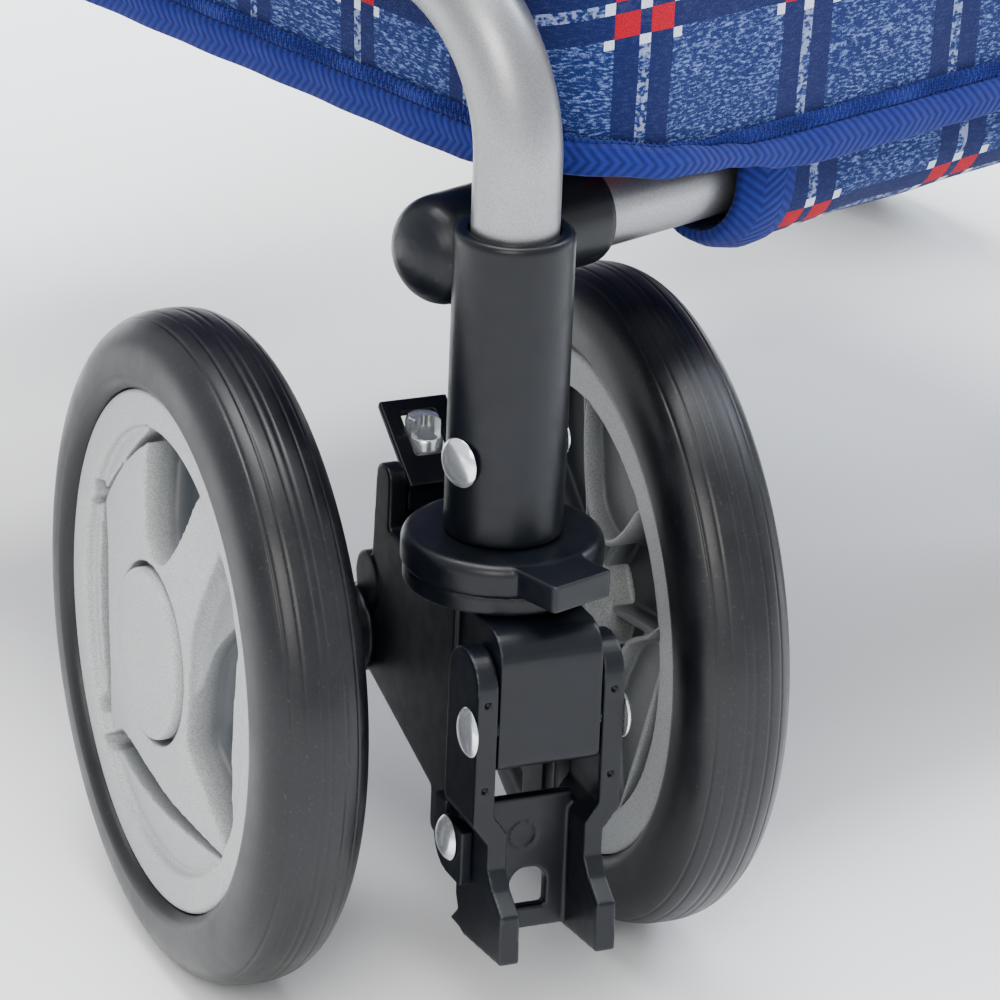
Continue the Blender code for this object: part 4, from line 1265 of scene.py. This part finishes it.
def bag_body():
    """The bag: creased walls and a base that sags a little between its edges."""
    points, outward, total = plan(6.0)
    count = len(points)
    across = sett_places(points, outward, total / count)
    lift = [PAIR_Z - SIDE_LOWER * outward[index % count].x ** 2 for index in range(count + 1)]
    rows, places = [], []
    levels = 90
    for level in range(levels + 1):
        height = BAG_BOTTOM + 4.6 + (BAG_TOP - BAG_BOTTOM - 4.6) * level / levels
        low_share = max(0, 1 - (height - BAG_BOTTOM - 2) / 40)
        row = []
        for point, out in zip(points, outward):
            at = point + out * (belly(point, height) - 0.4)
            drop = BAG_BOTTOM + 1.2 - binding_edge(point, out)[0]
            row.append(Vector((at.x, at.y, height - drop * low_share)))
        rows.append(row)
        places.append([(u, height - v) for u, v in zip(across, lift)])
    middle_at = Vector((0, (BAG_FRONT + BAG_BACK) / 2))
    for inset in (1, 3, 8, 16, 30, 50, 75, 100, 118):
        row = []
        share = inset / 120
        for point, out in zip(points, outward):
            flat = point.lerp(middle_at, share)
            drop = (BAG_BOTTOM + 1.2 - binding_edge(point, out)[0]) * max(0, 1 - inset / 7)
            row.append(Vector((flat.x, flat.y, BAG_BOTTOM + 4.6 - min(1.2, inset * 0.4) - drop)))
        rows.insert(0, row)
        places.insert(0, [(u, BAG_BOTTOM - inset - v) for u, v in zip(across, lift)])
    mesh = grid_surface(rows, places)
    mesh.verts.ensure_lookup_table()
    mesh.faces.new(mesh.verts[:count])
    closed(mesh)
    piece = place_piece("bag", thickened(mesh, 1.4), "tartan_cloth", "root", ["bag_body"], sharp=50)
    return piece, total


def band(points, outward, edges, thick, stand):
    """A soft strip round the bag; edges gives its lower and upper height at a point, thick its depth."""
    section = ((-0.2, -0.92), (0.45, -1.0), (0.85, -0.82), (1.0, -0.4), (1.0, 0.4), (0.85, 0.82),
               (0.45, 1.0), (-0.2, 0.92))
    mesh = bmesh.new()
    mesh.loops.layers.uv.new("UVMap")
    count = len(points)
    rows, runs, reaches = [], [0.0], []
    for index, (point, out) in enumerate(zip(points, outward)):
        low, high = edges(point, out)
        half = (high - low) / 2
        depth = thick(point, out)
        row = []
        for away, up in section:
            at = point + out * (stand(index) + away * depth)
            row.append(mesh.verts.new((at.x, at.y, (low + high) / 2 + up * half)))
        rows.append(row)
        reaches.append(half)
        runs.append(runs[-1] + (points[(index + 1) % count] - point).length)
    for index in range(count):
        after = (index + 1) % count
        for corner in range(len(section)):
            ahead = (corner + 1) % len(section)
            verts = (rows[index][corner], rows[index][ahead], rows[after][ahead], rows[after][corner])
            spots = ((index, index, corner), (index, index, ahead), (index + 1, after, ahead),
                     (index + 1, after, corner))
            places = [(runs[run], section[at][1] * reaches[row]) for run, row, at in spots]
            textured_face(mesh, verts, places)
    return closed(mesh)


def bag_trim():
    """The tape bound round the bag's lower edge, the overlocked thread above it, and a taped rim."""
    points, outward, _ = plan(2.5)
    made = []

    def corner_share(point):
        return math.exp(-((STEM_HALF - abs(point.x) - 38) / 22) ** 4)

    def low_depth(point, out):
        return 2.2 + 1.6 * corner_share(point) * front_share(out)

    def stitch_edges(point, out):
        high = binding_edge(point, out)[1]
        hidden = corner_share(point) * min(1, max(0, -out.y) * 2)
        return high - 1.0 * hidden, high + 3.6 - 3.4 * hidden

    def bag_stand(index):
        return 0.3 + 0.2 * math.sin(index * 0.7) + 0.15 * math.sin(index * 0.23)

    binding = band(points, outward, binding_edge, low_depth, bag_stand)
    made.append(place_piece("bottom_binding", binding, "tape", "root"))
    backing = band(points, outward, stitch_edges, lambda point, out: 0.8, bag_stand)
    made.append(place_piece("overlock_band", backing, "thread", "root"))
    top = (BAG_TOP - 10, BAG_TOP)
    rim = band(points, outward, lambda point, out: top, lambda point, out: 1.6, bag_stand)
    made.append(place_piece("top_binding", rim, "tape", "root"))
    path = []
    fine, fine_out, _ = plan(0.8)
    for index, (point, out) in enumerate(zip(fine, fine_out)):
        low, high = stitch_edges(point, out)
        wander = 0.35 * noise.noise(Vector((index * 0.31, 0.0, 0.0)))
        height = low + 0.2 if index % 2 else high + 0.4 + wander
        at = point + out * (1.15 + 0.15 * wander)
        path.append(Vector((at.x, at.y, height)))
    thread = sweep(path, circle(0.40, 6), loop=True)
    made.append(place_piece("overlock_thread", thread, "thread", "root"))
    return made


def sleeve_tape(outline, section, sign, start):
    """The tape round one end of the sleeve, drawn in towards its open end."""
    mesh = bmesh.new()
    mesh.loops.layers.uv.new("UVMap")
    rows, runs = [], [0.0]
    last = len(outline) - 1
    for index, (y, z) in enumerate(outline):
        before, after = Vector(outline[max(0, index - 1)]), Vector(outline[min(last, index + 1)])
        heading = (after - before).normalized()
        out = Vector((-heading.y, heading.x))
        if index:
            runs.append(runs[-1] + math.dist(outline[index - 1], outline[index]))
        row = []
        for inward, away in section:
            lean = 1.5 * (z - CROSS_Z) / 14
            x = sign * (start - inward - lean)
            row.append(mesh.verts.new((x, y + out.x * away, z + out.y * away)))
        rows.append(row)
    for index in range(last):
        for corner in range(len(section)):
            ahead = (corner + 1) % len(section)
            spots = ((index, corner), (index, ahead), (index + 1, ahead), (index + 1, corner))
            verts = [rows[row][at] for row, at in spots]
            textured_face(mesh, verts, [(runs[row], section[at][0]) for row, at in spots])
    mesh.faces.new(rows[0])
    mesh.faces.new(rows[-1])
    return closed(mesh)


def cross_tube_sleeve():
    """The cloth loop that hangs from the bag round the front cross tube, taped at both ends."""
    half = span("cross_tube_sleeve").x / 2
    radius = 16.2
    top = BAG_BOTTOM + 3
    outline = [(CROSS_BACK + radius, top)] + arc((CROSS_BACK, CROSS_Z), radius, 0, -180, 24)
    outline += [(CROSS_BACK - radius, top)]
    lengths = [0.0]
    for first, last in zip(outline, outline[1:]):
        lengths.append(lengths[-1] + math.dist(first, last))
    rows, places = [], []
    steps = 80
    cloth_half = half - 8
    for step in range(steps + 1):
        x = -cloth_half + 2 * cloth_half * step / steps
        row = []
        for (y, z), run in zip(outline, lengths):
            sway = 0.7 * noise.noise(Vector((x * 0.05, run * 0.06, 3.1)))
            row.append(Vector((x, y + sway, z + 0.6 * sway)))
        rows.append(row)
        places.append([(x + STEM_HALF - SLEEVE_PAIR_X, run - SLEEVE_PAIR_RUN) for run in lengths])
    mesh = grid_surface(rows, places, loop=False)
    cloth = thickened(mesh, 1.0)
    loop = place_piece("sleeve", cloth, "tartan_cloth", "root", ["cross_tube_sleeve"], sharp=50)
    pieces = []
    section = ((0.0, -3.4), (0.5, -4.2), (6, -2.2), (13.5, -0.7), (14.0, 0.2), (13.5, 1.2), (9, 1.5),
               (4, 0.3), (0.6, -1.6), (0.0, -2.4))
    for name, sign in (("sleeve_tape_left", -1), ("sleeve_tape_right", 1)):
        mesh = sleeve_tape(outline, section, sign, half - 3.0)
        pieces.append(place_piece(name, mesh, "tape", "root"))
    return loop, pieces, lengths[-1], 2 * half


def bag_lid():
    """The lid: a crowned top panel and a hanging front flap, bound with tape."""
    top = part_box("bag_lid")[1].z / MM
    front = BAG_FRONT - 8
    half = BAG_HALF - 5
    rows, places = [], []
    profile = [(BAG_BACK, top - 2)]
    steps = 26
    for step in range(1, steps + 1):
        profile.append((BAG_BACK + (front + 6 - BAG_BACK) * step / steps, top - 2))
    profile += arc((front + 6, top - 8), 6, 90, 180, 6)[1:]
    for step in range(1, 13):
        profile.append((front, top - 8 - 80 * step / 12))
    runs = [0.0]
    for first, last in zip(profile, profile[1:]):
        runs.append(runs[-1] + math.dist(first, last))
    across_steps = 50
    back_in = BAG_BACK - BAG_CORNER
    for (y, z), run in zip(profile, runs):
        row, texture = [], []
        reach = half
        if y > back_in:
            reach = half - BAG_CORNER + math.sqrt(max(0, BAG_CORNER ** 2 - (y - back_in) ** 2))
        along = min(1, max(0, (BAG_BACK - y) / (BAG_BACK - front)))
        for step in range(across_steps + 1):
            share = -1 + 2 * step / across_steps
            x = share * reach
            crown = (1 - share ** 2) * math.sin(math.pi * along)
            ripple = 1.2 * noise.noise(Vector((x * 0.02, y * 0.02, z * 0.02)))
            if z > top - 8:
                row.append(Vector((x, y, z + 7 * crown + ripple)))
            else:
                row.append(Vector((x, y + ripple, z)))
            texture.append((x + 23.5, run))
        rows.append(row)
        places.append(texture)
    mesh = grid_surface(rows, places, loop=False)
    lid = place_piece("lid_panel", thickened(mesh, 1.6), "tartan_cloth", "lid", ["bag_lid"], sharp=50)
    edge = [row[0] for row in rows[1:]] + rows[-1][1:-1] + [row[-1] for row in reversed(rows[1:])]
    section = filleted([((-1.6, -4), 1.3), ((1.6, -4), 1.3), ((1.6, 4), 1.3), ((-1.6, 4), 1.3)], 3)
    binding = place_piece("lid_binding", sweep(edge, section), "tape", "lid")
    return lid, [binding], runs[-1], 2 * half


def bag():
    body, total = bag_body()
    trim = bag_trim()
    loop, tapes, length, width = cross_tube_sleeve()
    lid, edging, length, width = bag_lid()


# Build ------------------------------------------------------------------------

add_camera()
add_stage()
for build in (stem_bracket, stem_rivet, side_tube, swivel_collar, fork, caster_axle, caster_wheels,
              lock_pedal, pedal_rivet, guard_plate, lock_lever, rear_connector, rear_upright, rear_foot,
              rear_wheels, rear_axles, cross_tubes, brake, handle, height_collar, bag):
    build()
for kingpin in ("left_kingpin", "right_kingpin"):
    frame["nodes"][kingpin].material_slots[0].material = FINISHES["steel"]
